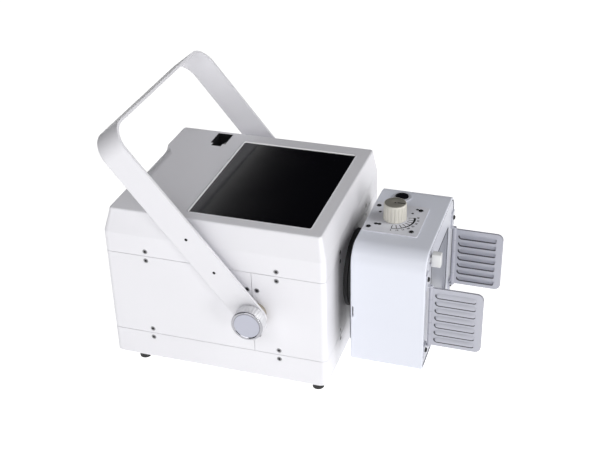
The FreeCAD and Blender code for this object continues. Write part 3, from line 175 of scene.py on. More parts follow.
def finish(name, colour, roughness, metallic=0.0, grain=0.0008, grain_depth=0.00002, drift=0.03,
           edge_radius=0.0006, edge_colour=None, edge_share=0.35, coat=0.0, brush=(1, 1, 1),
           rough_drift=0.06, specular=0.5):
    """A hard finish; sizes are in metres, and brush stretches the grain along the axes it names."""
    material = bpy.data.materials.new(name)
    material.use_nodes = True
    tree = material.node_tree
    shader = tree.nodes["Principled BSDF"]

    def node(kind, values, **settings):
        """A new node with its settings, and then the values of its inputs."""
        made = tree.nodes.new("ShaderNode" + kind)
        for key, value in settings.items():
            setattr(made, key, value)
        for key, value in values.items():
            made.inputs[key].default_value = value
        return made

    def link(output, target, socket):
        """Feed an output into an input of another node."""
        tree.links.new(output, target.inputs[socket])

    for key, value in (("Metallic", metallic), ("Coat Weight", coat), ("Coat Roughness", 0.12),
                       ("Specular IOR Level", specular)):
        shader.inputs[key].default_value = value
    place = node("TexCoord", {})
    stretch = node("Mapping", {"Scale": brush})
    link(place.outputs["Object"], stretch, "Vector")

    soft = node("Bevel", {"Radius": edge_radius}, samples=4)
    fine = node("TexNoise", {"Scale": 1 / grain, "Detail": 3})
    link(stretch.outputs[0], fine, "Vector")
    bump = node("Bump", {"Strength": 1.0, "Distance": grain_depth})
    link(fine.outputs["Fac"], bump, "Height")
    link(soft.outputs[0], bump, "Normal")
    link(bump.outputs[0], shader, "Normal")

    wide = node("TexNoise", {"Scale": 1 / drift_size, "Detail": 4})
    link(place.outputs["Object"], wide, "Vector")
    shade = node("Mix", {"A": (*[c * (1 - drift) for c in colour], 1),
                         "B": (*[min(1, c * (1 + drift)) for c in colour], 1)}, data_type="RGBA")
    link(wide.outputs["Fac"], shade, "Factor")

    geometry = node("NewGeometry", {})
    match = node("VectorMath", {}, operation="DOT_PRODUCT")
    link(soft.outputs[0], match, 0)
    link(geometry.outputs["Normal"], match, 1)
    # Edge colour at every edge the Bevel finds: wear on outer edges, painted shade in hollow ones.
    edge_wear_and_shade = node("MapRange", {"From Min": 0.995, "From Max": 0.80, "To Min": 0.0,
                             "To Max": edge_share})
    link(match.outputs["Value"], edge_wear_and_shade, "Value")
    edge_wear_and_shade_colour = edge_colour or [c * 0.85 for c in colour]
    edged = node("Mix", {"B": (*edge_wear_and_shade_colour, 1)}, data_type="RGBA")
    link(shade.outputs["Result"], edged, "A")
    link(edge_wear_and_shade.outputs[0], edged, "Factor")
    link(edged.outputs["Result"], shader, "Base Color")

    gloss = node("MapRange", {"To Min": max(0.02, roughness - rough_drift),
                              "To Max": min(1.0, roughness + rough_drift)})
    link(wide.outputs["Fac"], gloss, "Value")
    link(gloss.outputs[0], shader, "Roughness")
    return material


def dress(material, *names):
    """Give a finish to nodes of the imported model."""
    for name in names:
        mesh = nodes[name].data
        if not mesh.materials:
            mesh.materials.append(material)
        for index in range(len(mesh.materials)):
            mesh.materials[index] = material
    print(material.name, "on", len(names), "nodes")


# %% [markdown]
# ## White paint
# The case, the collimator and the handle are sprayed steel and aluminium. The paint has a very
# fine orange-peel skin, is half gloss, and shows a little grey where an edge has been touched;
# the same grey in the hollow seams between the shells is painted shade.
# The collimator's paint is a cooler white than the case's.

# %% White paint
case_white = finish("case_white", (0.815, 0.81, 0.845), 0.42, grain=0.0011, grain_depth=0.000012,
                    drift=0.012, edge_radius=0.0007, edge_share=0.18, specular=0.4)
handle_white = finish("handle_white", (0.80, 0.795, 0.83), 0.40, grain=0.0011, grain_depth=0.000012,
                      drift=0.012, edge_radius=0.0008, edge_share=0.15, specular=0.4)
cool_white = finish("cool_white", (0.735, 0.755, 0.83), 0.40, grain=0.0011, grain_depth=0.000012,
                    drift=0.012, edge_radius=0.0008, edge_share=0.15, specular=0.4)
exit_grey = finish("exit_grey", (0.55, 0.56, 0.62), 0.42, grain=0.0009, grain_depth=0.000012,
                   edge_radius=0.0005)
# The wings' dark edge colour paints shade on the edge faces of the sheet, on the lower lips of the
# louvres and in the grooves of the hinge barrel.
wing_grey = finish("wing_grey", (0.47, 0.475, 0.535), 0.38, grain=0.0010, grain_depth=0.000014,
                   drift=0.02, edge_radius=0.0004, edge_colour=(0.22, 0.22, 0.25), edge_share=0.7)
dress(case_white, "top_shell", "rear_belt_shell", "front_belt_shell", "bottom_tray")
dress(handle_white, "handle_bail")
dress(cool_white, "collimator_housing")
dress(exit_grey, "exit_plate", "hinge_brackets")

# %% [markdown]
# ## Black plastic and rubber
# Moulded plastic keeps a fine stipple from its tool, and its edges go a little grey with
# handling. Rubber is rougher still and dusty.

# %% Black plastic and rubber
moulded_black = finish("moulded_black", (0.014, 0.014, 0.016), 0.45, grain=0.0005,
                       grain_depth=0.00003, drift=0.2, edge_colour=(0.05, 0.05, 0.055),
                       edge_share=0.6)
gloss_black = finish("gloss_black", (0.006, 0.006, 0.008), 0.18, grain=0.003, grain_depth=0.000004,
                     drift=0.1, edge_colour=(0.03, 0.03, 0.035), edge_share=0.4, coat=0.3)
swivel_black_and_gap_shade = finish("swivel_black_and_gap_shade", (0.02, 0.02, 0.023), 0.5, grain=0.0007, drift=0.2,
                      edge_colour=(0.09, 0.09, 0.10), edge_share=0.6)
rubber_black = finish("rubber_black", (0.018, 0.018, 0.018), 0.75, grain=0.0006,
                      grain_depth=0.00005, drift=0.3, edge_colour=(0.06, 0.06, 0.06))
bezel_grey = finish("bezel_grey", (0.60, 0.61, 0.66), 0.35, grain_depth=0.00001)
dress(moulded_black, "port_socket", "inlet_module", "fuse_drawer", "power_rocker")
dress(bezel_grey, "lamp_switch")
# Black on the mount plate, the flange and the ring, which also paints the deep shade in the gap
# between the case and the collimator.
dress(swivel_black_and_gap_shade, "mount_plate", "swivel_flange", "swivel_ring")
dress(rubber_black, "rubber_feet")

# %% [markdown]
# ## Metals
# Screws are dark steel, the clamp knobs are turned aluminium with a satin face, and the contacts
# are tinned wires. Turning leaves fine rings, so the grain is stretched round the knob's axis by
# squeezing it along that axis. The parts inside the case have plain mill finishes.

# %% Metals
dark_steel = finish("dark_steel", (0.30, 0.30, 0.31), 0.36, metallic=0.8, grain=0.0003,
                    grain_depth=0.00001, edge_colour=(0.6, 0.6, 0.62), edge_share=0.6,
                    edge_radius=0.0002)
# Near black: the bracket screws and the pointer line, and painted shade in sockets and holes.
black_and_hollow_shade = finish("black_and_hollow_shade", (0.010, 0.010, 0.011), 0.6, grain=0.0003, grain_depth=0.00001,
                     edge_radius=0.0001)
bright_steel = finish("bright_steel", (0.58, 0.58, 0.60), 0.26, metallic=1.0, grain=0.0004,
                      grain_depth=0.000006, brush=(1, 1, 0.08), edge_radius=0.0003)
turned_silver = finish("turned_silver", (0.72, 0.72, 0.74), 0.34, metallic=0.6, grain=0.0006,
                       grain_depth=0.00001, brush=(0.2, 3.0, 0.2), edge_colour=(0.95, 0.95, 0.97),
                       edge_share=0.5, edge_radius=0.0004)
satin_disc = finish("satin_disc", (0.50, 0.51, 0.59), 0.48, metallic=0.15, grain=0.0004,
                    grain_depth=0.000005, drift=0.04, edge_radius=0.0003)
chrome = finish("chrome", (0.42, 0.42, 0.45), 0.16, metallic=1.0, grain=0.004, grain_depth=0.000002,
                drift=0.02, edge_radius=0.0002)
tin_grey = finish("contact_tin", (0.62, 0.62, 0.63), 0.35, metallic=0.6, grain=0.0005,
                  grain_depth=0.000004)
mill_steel = finish("mill_steel", (0.45, 0.45, 0.46), 0.42, metallic=1.0, grain_depth=0.00001,
                    brush=(0.15, 1, 1))
bush_bronze = finish("bush_bronze", (0.52, 0.47, 0.38), 0.32, metallic=1.0, grain=0.0005,
                     grain_depth=0.000008, brush=(1, 1, 0.1))
tank_grey = finish("tank_grey", (0.30, 0.31, 0.33), 0.45, grain=0.0010, grain_depth=0.00003)
lead_grey = finish("lead_grey", (0.22, 0.23, 0.25), 0.6, metallic=0.6, grain=0.0012,
                   grain_depth=0.00003)
dress(dark_steel, "foot_screws")
dress(black_and_hollow_shade, "bracket_screws")
dress(bright_steel, "pivot_brackets", "hinge_pins", "pinion_shaft", "retaining_ring", "inlet_pins")
dress(satin_disc, "knob_disc_front", "knob_disc_back")
dress(mill_steel, "seam_brackets", "chassis_plate", "gear_plate", "blade_guides", "mirror_bracket",
      "board_standoffs")
dress(bush_bronze, "pivot_spacers", "shaft_bush")
dress(turned_silver, "friction_washers")
dress(tank_grey, "monoblock_tank", "tank_lid", "power_supply")
dress(lead_grey, "beam_tube", "shutter_front", "shutter_back")

# %% [markdown]
# ## Knob, dial and small parts
# The field knob is moulded in a warm cream plastic with an olive cap. The scale plate is matt so
# that its marks read from any side.

# %% Knob, dial and small parts
# Its darker edge colour also paints shade into the grooves between the ribs.
knob_cream = finish("knob_cream", (0.66, 0.64, 0.58), 0.38, grain=0.0009, grain_depth=0.00001,
                    edge_radius=0.0005, edge_colour=(0.50, 0.48, 0.42))
button_cream = finish("button_cream", (0.68, 0.685, 0.69), 0.36, grain=0.0009, grain_depth=0.00001,
                      drift=0.02)
cap_olive = finish("cap_olive", (0.235, 0.225, 0.195), 0.42, grain=0.0006, grain_depth=0.00001,
                   drift=0.05, edge_radius=0.0003)
dial_pale = finish("dial_pale", (0.73, 0.735, 0.79), 0.5, grain_depth=0.000008,
                   drift=0.015, edge_radius=0.0003, edge_colour=(0.92, 0.92, 0.95), edge_share=0.7)
board_green = finish("board_green", (0.02, 0.16, 0.06), 0.4, grain=0.0015)
part_dark = finish("part_dark", (0.03, 0.03, 0.035), 0.4, grain_depth=0.00001)
dress(dial_pale, "dial_plate")
dress(board_green, "control_board")
dress(part_dark, "board_components", "display_module")

# %% [markdown]
# ## Glass
# The screen is toughened glass over a dark display. Switched off, it is nearly black, so a very
# dark and very smooth coated surface reads the same as real glass and is quicker to render than a
# clear one. Faint smears in the roughness keep it from looking like a hole. The exit window is a
# milky plastic.

# %% Glass
# The grey edge colour on the glass is a painted highlight along its rim.
screen_black = finish("screen_black", (0.0018, 0.0018, 0.0030), 0.11, grain=0.02,
                      grain_depth=0.000001, drift=0.2, edge_radius=0.0004,
                      edge_colour=(0.10, 0.10, 0.11), edge_share=0.5, rough_drift=0.03)
window_grey = finish("window_grey", (0.30, 0.31, 0.35), 0.42, grain=0.01, grain_depth=0.000002)
mirror_glass = finish("mirror_glass", (0.90, 0.90, 0.92), 0.03, metallic=1.0, grain=0.02,
                      grain_depth=0.0000005)
lamp_glass = finish("lamp_glass", (0.75, 0.72, 0.62), 0.2, grain=0.004, grain_depth=0.000004,
                    coat=0.5)
dress(screen_black, "screen_glass")
dress(window_grey, "exit_window")
dress(mirror_glass, "mirror")
dress(lamp_glass, "lamp")

# %% [markdown]
# ## Surfaces from numbers
# A new piece is a grid of points: each row is one step of a first parameter and each column one
# step of a second. Neighbouring points make the faces, so one helper turns any such grid, or many
# at once, into a mesh. Points that fall together are merged, which closes poles and ends, and the
# faces are then turned outwards.

# %% Surface helper
mm = 0.001


def grid_faces(rows, columns, wrap_rows, wrap_columns):
    """Four corners of each cell of a grid; wrap joins the last row or column to the first."""
    row = np.arange(rows if wrap_rows else rows - 1)
    column = np.arange(columns if wrap_columns else columns - 1)
    row, column = np.meshgrid(row, column, indexing="ij")
    next_row = (row + 1) % rows
    next_column = (column + 1) % columns
    corners = [row * columns + column, next_row * columns + column,
               next_row * columns + next_column, row * columns + next_column]
    return np.stack(corners, -1).reshape(-1, 4)


def make_piece(name, grids, material, body, wrap_rows=False, wrap_columns=False, sharp_deg=35,
               second=None, second_columns=()):
    """One object from grids of points in mm, shaped (count, rows, columns, 3).

    The cells whose column is in second_columns take the second material."""
    grids = np.asarray(grids, float)
    count, rows, columns, _ = grids.shape
    cells = grid_faces(rows, columns, wrap_rows, wrap_columns)
    faces = (np.arange(count)[:, None, None] * rows * columns + cells).reshape(-1, 4)
    mesh = bpy.data.meshes.new(name)
    mesh.from_pydata((grids * mm).reshape(-1, 3).tolist(), [], faces.tolist())
    if second:
        cell_columns = columns if wrap_columns else columns - 1
        column = np.arange(len(faces)) % cell_columns
        is_second = np.isin(column, second_columns).astype(np.int32)
        mesh.polygons.foreach_set("material_index", is_second)
    work = bmesh.new()
    work.from_mesh(mesh)
    bmesh.ops.remove_doubles(work, verts=work.verts, dist=1e-7)
    bmesh.ops.recalc_face_normals(work, faces=work.faces)
    work.to_mesh(mesh)
    work.free()
    mesh.shade_smooth()
    mesh.set_sharp_from_angle(angle=math.radians(sharp_deg))
    mesh.materials.append(material)
    if second:
        mesh.materials.append(second)
    piece = bpy.data.objects.new(name, mesh)
    bpy.context.scene.collection.objects.link(piece)
    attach(piece, body)
    print(name, "faces:", len(mesh.polygons))
    return piece


def lathe(axis, centre, radius, height, turns=48):
    """Grid of a turned form: rows go round the axis, columns follow the profile.

    At an angle, a point lies its radius from the axis and its height along it. The radius may
    have a row for each angle, as on a fluted knob."""
    turn = np.linspace(0, 2 * np.pi, turns, endpoint=False)[:, None]
    radius = np.asarray(radius, float)
    along = np.asarray(height, float) + 0 * turn
    across = radius * np.cos(turn)
    beside = radius * np.sin(turn)
    order = {"y": (beside, along, across), "z": (across, beside, along)}
    return (np.stack(order[axis], -1) + np.asarray(centre, float))[None]


def bar(path, radius, side, turns=10):
    """Grid of a round bar along a path: circles in the plane of the side and the normal."""
    path = np.asarray(path, float)
    ahead = np.gradient(path, axis=0)
    ahead /= np.linalg.norm(ahead, axis=1, keepdims=True)
    side = np.broadcast_to(np.asarray(side, float), path.shape)
    normal = np.cross(ahead, side)
    turn = np.linspace(0, 2 * np.pi, turns, endpoint=False)[None, :, None]
    ring = path[:, None] + radius * (np.cos(turn) * side[:, None] + np.sin(turn) * normal[:, None])
    first = np.repeat(path[:1, None], turns, 1)
    last = np.repeat(path[-1:, None], turns, 1)
    return np.concatenate([first, ring, last], 0)


def slab(path, half_widths, low, high):
    """Grid of a flat slab: a path in two coordinates, made wide on both sides, low to high."""
    path = np.asarray(path, float)
    ahead = np.gradient(path, axis=0)
    ahead /= np.linalg.norm(ahead, axis=1, keepdims=True)
    outward = np.stack([ahead[:, 1], -ahead[:, 0]], -1) * np.asarray(half_widths, float)[:, None]
    left = path - outward
    right = path + outward
    floor_height = np.full(len(path), low)
    roof_height = np.full(len(path), high)
    corners = ((left, floor_height), (right, floor_height), (right, roof_height),
               (left, roof_height))
    ring = np.stack([np.column_stack(corner) for corner in corners], 1)
    first = np.repeat(ring[:1].mean(1, keepdims=True), 4, 1)
    last = np.repeat(ring[-1:].mean(1, keepdims=True), 4, 1)
    return np.concatenate([first, ring, last], 0)


# %% [markdown]
# ## Screws with hexagon sockets
# Fifty-two flush screws hold the shells, the swivel's flange, the tank's lid and the inlet. The
# model carries each as a plain disc. A real one has a small chamfer, a flat ring and a six-sided
# socket. Its radius at an angle is that of a circle outside and of a hexagon inside, where the
# radius is the half width across flats divided by the cosine of the angle from the middle of the
# nearest flat. One profile with a share of hexagon in each row makes both.

# %% Screw heads
head_turns = 24
#       radius, height, share of hexagon
head_profile = np.array([(0.0, -1.35, 0), (2.72, -1.35, 0), (2.72, -0.22, 0), (2.50, 0.0, 0),
                         (1.38, 0.0, 1), (1.22, -0.15, 1), (1.22, -1.05, 1), (0.0, -1.15, 0)])
socket_cells = (4, 5, 6)


def screw_head():
    """Grid of one head: rows go round, columns follow the profile from pole to pole."""
    turn = np.linspace(0, 2 * np.pi, head_turns, endpoint=False)[:, None]
    radius, height, share = head_profile.T
    from_flat = (turn % (np.pi / 3)) - np.pi / 6
    hexagon = radius / np.cos(from_flat)
    reach = (1 - share) * radius + share * hexagon
    return np.stack([reach * np.cos(turn), reach * np.sin(turn), height + 0 * turn], -1)


def set_at(grid, places, normals, spins):
    """Copies of a grid drawn along +Z, each turned to its normal, spun, and moved to its place."""
    places = np.asarray(places, float)
    normals = np.asarray(normals, float)
    helper = np.where(np.abs(normals[:, 2:3]) > 0.9, [[1.0, 0.0, 0.0]], [[0.0, 0.0, 1.0]])
    first = np.cross(helper, normals)
    first /= np.linalg.norm(first, axis=1, keepdims=True)
    second = np.cross(normals, first)
    spins = np.asarray(spins, float)[:, None]
    across = first * np.cos(spins) + second * np.sin(spins)
    along = np.cross(normals, across)
    axes = np.stack([across, along, normals], 1)
    return np.einsum("ruk,nkj->nruj", grid, axes) + places[:, None, None, :]


def pairs(low, high, offset):
    """Four heights: a screw on each side of both seams."""
    return [low - offset, low + offset, high - offset, high + offset]


half_length = 125.0
half_width = 109.0
lower_seam = 42.5
upper_seam = 143.0
seam_offset = 5.65
side_screws_x = (-77.2, 71.7)
end_screws_y = (-53.0, 53.0)
stud_x = 43.8
stud_spread = 5.5
stud_heights = (121.5, 64.6)
beam_height = 99.0
flange_face_x = 129.5
flange_circle = 39.2
lid_screws_x = (-52.0, 10.0, 72.0)
lid_screws_y = (-54.0, 54.0)
inlet_face_x = -half_length - 2.0
inlet_y = 52.0
inlet_height = 96.0
inlet_spread = 23.0
seam_heights = pairs(lower_seam, upper_seam, seam_offset)
screw_places = []
screw_normals = []
for side in (-1, 1):
    for x in side_screws_x:
        screw_places += [(x, side * half_width, z) for z in seam_heights]
        screw_normals += [(0, side, 0)] * 4
    for z in stud_heights:
        screw_places += [(stud_x - stud_spread, side * half_width, z),
                         (stud_x + stud_spread, side * half_width, z)]
        screw_normals += [(0, side, 0)] * 2
for end in (-1, 1):
    for y in end_screws_y:
        screw_places += [(end * half_length, y, z) for z in seam_heights]
        screw_normals += [(end, 0, 0)] * 4
for index in range(4):
    turn = math.radians(45 + 90 * index)
    screw_places.append((flange_face_x, flange_circle * math.cos(turn),
                         beam_height + flange_circle * math.sin(turn)))
    screw_normals.append((1, 0, 0))
lid_top = 1000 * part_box("tank_lid")[1][2]
for y in lid_screws_y:
    for x in lid_screws_x:
        screw_places.append((x, y, lid_top))
        screw_normals.append((0, 0, 1))
for z in (inlet_height - inlet_spread, inlet_height + inlet_spread):
    screw_places.append((inlet_face_x, inlet_y, z))
    screw_normals.append((-1, 0, 0))
screw_spins = np.random.default_rng(7).uniform(0, math.pi / 3, len(screw_places))
head_grids = set_at(screw_head(), screw_places, screw_normals, screw_spins)
# The socket's cells are near black: painted shade in the hollow of the socket.
heads = make_piece("case_screw_heads", head_grids, dark_steel, "root",
                   wrap_rows=True, second=black_and_hollow_shade, second_columns=socket_cells)
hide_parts("case_screws")
print("screws:", len(screw_places))

# %% [markdown]
# ## Guard wings
# Each wing is one sheet of metal with seven louvres pressed into it. A louvre rises slowly from
# its upper edge and drops quickly at its lower one, so light falls into a soft slope. A thin dark
# strip along the lower edge is painted shade: the shadow under the louvre's lip. A dark strip
# along the wing's upper edge and round its top corner is painted shade of the sheet's edge. The
# sheet is a height over a grid: rows run up the wing, columns run out and back round the free
# edge, and the rounded corners come from shortening the rows near the top and the bottom.

# %% Wings
wing_y = 63.0
hinge_x = 226.5
wing_reach = 282.0
wing_low = 56.0
wing_high = 129.0
wing_middle = (wing_low + wing_high) / 2
wing_half = (wing_high - wing_low) / 2
sheet_thickness = 1.5
corner_radius = 7.0
bead_middle_x = 253.5
bead_half = 21.0
bead_half_height = 2.7
bead_rise = 2.2
bead_pitch = 9.3
bead_crest = -0.6
pin_hole_radius = 1.05
barrel_radius = 2.2
knuckle_groove_radius = 1.95
shade_strip_gap = 0.75
shade_strip_half_width = 0.75
shade_strip_rise = 0.5
edge_shade_start_x = hinge_x + 3.0
edge_shade_middle_x = 250.0
edge_shade_inset = 0.28
edge_shade_rise = 0.05


def bead_lift(x, z):
    """Height of the louvres: a lopsided arch across each, shrunk to a half circle at both ends."""
    nearest = np.clip(np.round((z - wing_middle) / bead_pitch), -3, 3)
    across = (z - wing_middle - nearest * bead_pitch) / bead_half_height
    straight = bead_half - bead_half_height
    past = np.maximum(0, np.abs(x - bead_middle_x) - straight) / bead_half_height
    width = np.sqrt(np.maximum(0, 1 - past ** 2))
    across = across / np.maximum(width, 1e-6)
    upper = 1 - ((across - bead_crest) / (1 - bead_crest)) ** 2
    lower = 1 - ((bead_crest - across) / (1 + bead_crest)) ** 2
    arch = np.where(across > bead_crest, upper, lower)
    return bead_rise * np.sqrt(width) * np.clip(arch, 0, 1)


def wing_sheet(side):
    """Grid of one wing: each row goes out on the outer face and back on the inner one."""
    shares = np.array([-1, -0.95, -0.85, -0.72, -0.6, -0.3, 0.1, 0.4, 0.7, 0.9, 1.0])
    steps = shares * bead_half_height
    rows_z = np.concatenate([wing_middle + index * bead_pitch + steps for index in range(-3, 4)])
    margin = wing_half - 3 * bead_pitch - bead_half_height
    corner = wing_half - corner_radius * (1 - np.sin(np.linspace(0, np.pi / 2, 10)))
    ends = np.array([0.0, 0.35 * margin, 0.7 * margin, margin])
    rows_z = np.concatenate([rows_z, wing_middle - corner, wing_middle + corner,
                             wing_middle - wing_half + ends, wing_middle + wing_half - ends])
    rows_z = np.unique(np.round(np.sort(rows_z), 4))
    past = np.maximum(0, np.abs(rows_z - wing_middle) - (wing_half - corner_radius))
    free_end = wing_reach - corner_radius + np.sqrt(np.maximum(0, corner_radius ** 2 - past ** 2))
    arc = bead_half_height * np.sin(np.linspace(0, np.pi / 2, 7))
    straight = bead_half - bead_half_height
    columns = np.concatenate([[hinge_x, hinge_x + 2.5], bead_middle_x - straight - arc[::-1],
                              np.linspace(-straight + 4, straight - 4, 5) + bead_middle_x,
                              bead_middle_x + straight + arc])
    tail = np.linspace(0, 1, 6)[1:]
    x = np.repeat(columns[None, :], len(rows_z), 0)
    x = np.minimum(x, free_end[:, None])
    last = x[:, -1:]
    x = np.concatenate([x, last + (free_end[:, None] - last) * tail], 1)
    z = np.repeat(rows_z[:, None], x.shape[1], 1)
    lift = bead_lift(x, z)
    half = sheet_thickness / 2
    outer = np.stack([x, side * (wing_y + half + lift), z], -1)
    inner = np.stack([x, side * (wing_y - half + lift), z], -1)[:, ::-1]
    ring = np.concatenate([outer, inner], 1)
    middle = np.stack([x, side * (wing_y + 0 * x), z], -1)
    flat = np.concatenate([middle, middle[:, ::-1]], 1)
    return np.concatenate([flat[:1], ring, flat[-1:]], 0)[None]


def hinge_barrel(side):
    """Lathe of the barrel round the pin, with four fine grooves between its knuckles."""
    radius = [pin_hole_radius, barrel_radius]
    height = [wing_low, wing_low]
    for cut in np.linspace(wing_low, wing_high, 6)[1:-1]:
        radius += [barrel_radius, knuckle_groove_radius, knuckle_groove_radius, barrel_radius]
        height += [cut - 0.25, cut - 0.2, cut + 0.2, cut + 0.25]
    radius += [barrel_radius, pin_hole_radius]
    height += [wing_high, wing_high]
    return lathe("z", (hinge_x, side * wing_y, 0), radius, height, turns=28)


def louvre_shade_strips(side):
    """Seven slabs of painted shade: each follows the lower edge of a louvre and turns up round
    its near end.
    """
    turn = np.linspace(np.pi * 0.92, np.pi * 1.5, 8)
    reach = bead_half_height + shade_strip_gap
    left_x = bead_middle_x - bead_half + bead_half_height
    right_x = bead_middle_x + bead_half - bead_half_height
    end = np.linspace(np.pi * 1.5, np.pi * 1.75, 4)
    near_end = np.stack([left_x + reach * np.cos(turn), reach * np.sin(turn)], -1)
    lower_edge = np.stack([np.linspace(left_x, right_x, 8)[1:-1], np.full(6, -reach)], -1)
    far_end = np.stack([right_x + reach * np.cos(end), reach * np.sin(end)], -1)
    path = np.concatenate([near_end, lower_edge, far_end], 0)
    share = np.linspace(0, 1, len(path))
    half_widths = shade_strip_half_width * np.minimum(1, 6 * np.minimum(share + 0.06, 1 - share + 0.06))
    half = sheet_thickness / 2 + shade_strip_rise
    grids = []
    for index in range(-3, 4):
        moved = path + np.array([0, wing_middle + index * bead_pitch])
        grid = slab(moved, half_widths, side * wing_y - half, side * wing_y + half)
        grids.append(grid[..., [0, 2, 1]])
    return np.stack(grids)


def wing_edge_shade(side):
    """Dark slab of painted shade along the upper edge of a wing and down its rounded corner."""
    turn = np.linspace(np.pi / 2, 0, 8)
    middle = (wing_reach - corner_radius, wing_high - corner_radius)
    reach = corner_radius - edge_shade_inset
    edge = [(edge_shade_start_x, wing_high - edge_shade_inset), (edge_shade_middle_x, wing_high - edge_shade_inset)]
    bend = np.stack([middle[0] + reach * np.cos(turn), middle[1] + reach * np.sin(turn)], -1)
    path = np.concatenate([edge, bend])
    half = sheet_thickness / 2 + edge_shade_rise
    half_widths = np.linspace(0.26, 0.2, len(path))
    grid = slab(path, half_widths, side * wing_y - half, side * wing_y + half)
    return grid[None][..., [0, 2, 1]]


# Near-black finish for strips of painted shade: under the louvres, along the wings' upper edges and
# round the exit plate and its window.
painted_shade_grey = finish("painted_shade_grey", (0.050, 0.051, 0.060), 0.6, grain=0.0005, grain_depth=0.000004,
                   edge_radius=0.0001)
for body, side in (("front_wing", -1), ("back_wing", 1)):
    end = body.split("_")[0]
    sheet = make_piece(f"wing_sheet_{end}", wing_sheet(side), wing_grey, body,
                       wrap_columns=True, sharp_deg=40)
    barrel = make_piece(f"wing_barrel_{end}", hinge_barrel(side), wing_grey, body,
                        wrap_rows=True, wrap_columns=True)
    make_piece(f"wing_louvre_shade_{end}", louvre_shade_strips(side), painted_shade_grey, body,
               wrap_columns=True)
    make_piece(f"wing_edge_shade_{end}", wing_edge_shade(side), painted_shade_grey, body,
               wrap_columns=True)
    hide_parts(f"wing_{end}")
    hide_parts(f"wing_{end}")

# %% [markdown]
# ## Clamp knobs
# A clamp knob is a ribbed drum with a polished rim, and the satin disc lies in its face. The rim
# mirrors the white table below and the dark room above, so it shows bright and dark arcs. The
# section carries the rim as a rounded step, and its cells take the chrome finish.

# %% Clamp knobs
pivot_x = 47.0
pivot_z = 94.5
grip_ribs = 30
grip_turns = grip_ribs * 8
rib_depth = 0.4
rib_power = 3
#                  radius, distance from the middle of the case, share of groove
grip_profile = np.array([(0.0, 121.5, 0), (15.0, 121.5, 0), (15.0, 123.5, 0), (17.0, 123.5, 0),
                         (17.5, 124.1, 0), (17.4, 124.8, 1), (17.4, 134.7, 1), (17.0, 135.3, 0),
                         (17.0, 135.7, 0), (17.45, 136.1, 0), (17.45, 136.9, 0), (17.1, 137.5, 0),
                         (16.5, 137.8, 0), (15.7, 137.9, 0), (15.0, 137.6, 0), (14.3, 137.0, 0),
                         (14.3, 135.7, 0), (0.0, 135.7, 0)])
rim_cells = (8, 9, 10, 11, 12, 13, 14, 15)
grip_turn = np.linspace(0, 2 * np.pi, grip_turns, endpoint=False)[:, None]
grip_groove = ((1 + np.cos(grip_ribs * grip_turn)) / 2) ** rib_power
grip_radius = grip_profile[:, 0] - rib_depth * grip_groove * grip_profile[:, 2]

for end, side in (("front", -1), ("back", 1)):
    grip = lathe("y", (pivot_x, 0, pivot_z), grip_radius, grip_profile[:, 1], turns=grip_turns)
    grip = grip * (1, side, 1)
    drum = make_piece(f"clamp_grip_{end}", grip, turned_silver, f"{end}_clamp",
                      wrap_rows=True, second=chrome, second_columns=rim_cells)
    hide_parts(f"clamp_knob_{end}")

# %% [markdown]
# ## Threads in the handle
# Each arm of the handle has two small holes with a thread. At this size a thread is a lining
# with fine rings: a lathe whose inner radius waves in and out along the hole. The lining is near
# black, painted shade in the hole.

# %% Threaded holes
strap_inner_y = 118.2
strap_thickness = 3.0
strap_middle_y = strap_inner_y + strap_thickness / 2
strap_tilt = math.radians(39.0)
hole_distances = (63.4, 109.4)
liner_half = 1.35
liner_rings = 5
liner_outer = 1.68
thread_radius = 1.30
thread_wave = 0.10
ring_share = np.linspace(-1, 1, 4 * liner_rings + 1)
inner_radius = thread_radius + thread_wave * np.cos(ring_share * np.pi * liner_rings)
liner_radius = np.concatenate([[liner_outer], inner_radius, [liner_outer]])
liner_height = np.concatenate([[-liner_half], ring_share * liner_half, [liner_half]])
liners = []
for side in (-1, 1):
    for distance in hole_distances:
        centre = (pivot_x - distance * math.sin(strap_tilt), side * strap_middle_y,
                  pivot_z + distance * math.cos(strap_tilt))
        liners.append(lathe("y", centre, liner_radius, liner_height, turns=20)[0])
make_piece("handle_threads", liners, black_and_hollow_shade, "handle", wrap_rows=True,
           wrap_columns=True)

# %% [markdown]
# ## Lines on the exit face, and its button
# A thin dark line of painted shade runs round the exit plate and round its window, the shade at
# their edges. Each is a low ridge carried round a rounded rectangle. The push button is a block
# with rounded edges: the same rectangle, carried along the beam and drawn in at its face.

# %% Exit face
def corner_path(middle, half, radius, steps):
    """Points of a rounded rectangle: four quarter circles, which may differ, one after another."""
    turn = np.linspace(0, np.pi / 2, steps)
    arcs = []
    for index, (sx, sy) in enumerate(((1, 1), (-1, 1), (-1, -1), (1, -1))):
        angle = turn + index * np.pi / 2
        bend = np.broadcast_to(radius, 4)[index]
        arcs.append(np.stack([middle[0] + sx * (half[0] - bend) + bend * np.cos(angle),
                              middle[1] + sy * (half[1] - bend) + bend * np.sin(angle)], -1))
    return np.concatenate(arcs, 0)


def moulding(middle, half, radius, section, steps=8):
    """A section of (outward, height) pairs carried round a rounded rectangle."""
    path = corner_path(middle, half, radius, steps)
    ahead = np.roll(path, -1, 0) - np.roll(path, 1, 0)
    ahead /= np.linalg.norm(ahead, axis=1, keepdims=True)
    outward = np.stack([ahead[:, 1], -ahead[:, 0]], -1)
    out, height = np.asarray(section, float).T
    xy = path[:, None, :] + outward[:, None, :] * out[None, :, None]
    return np.concatenate([xy, np.repeat(height[None, :, None], len(path), 0)], -1)[None]


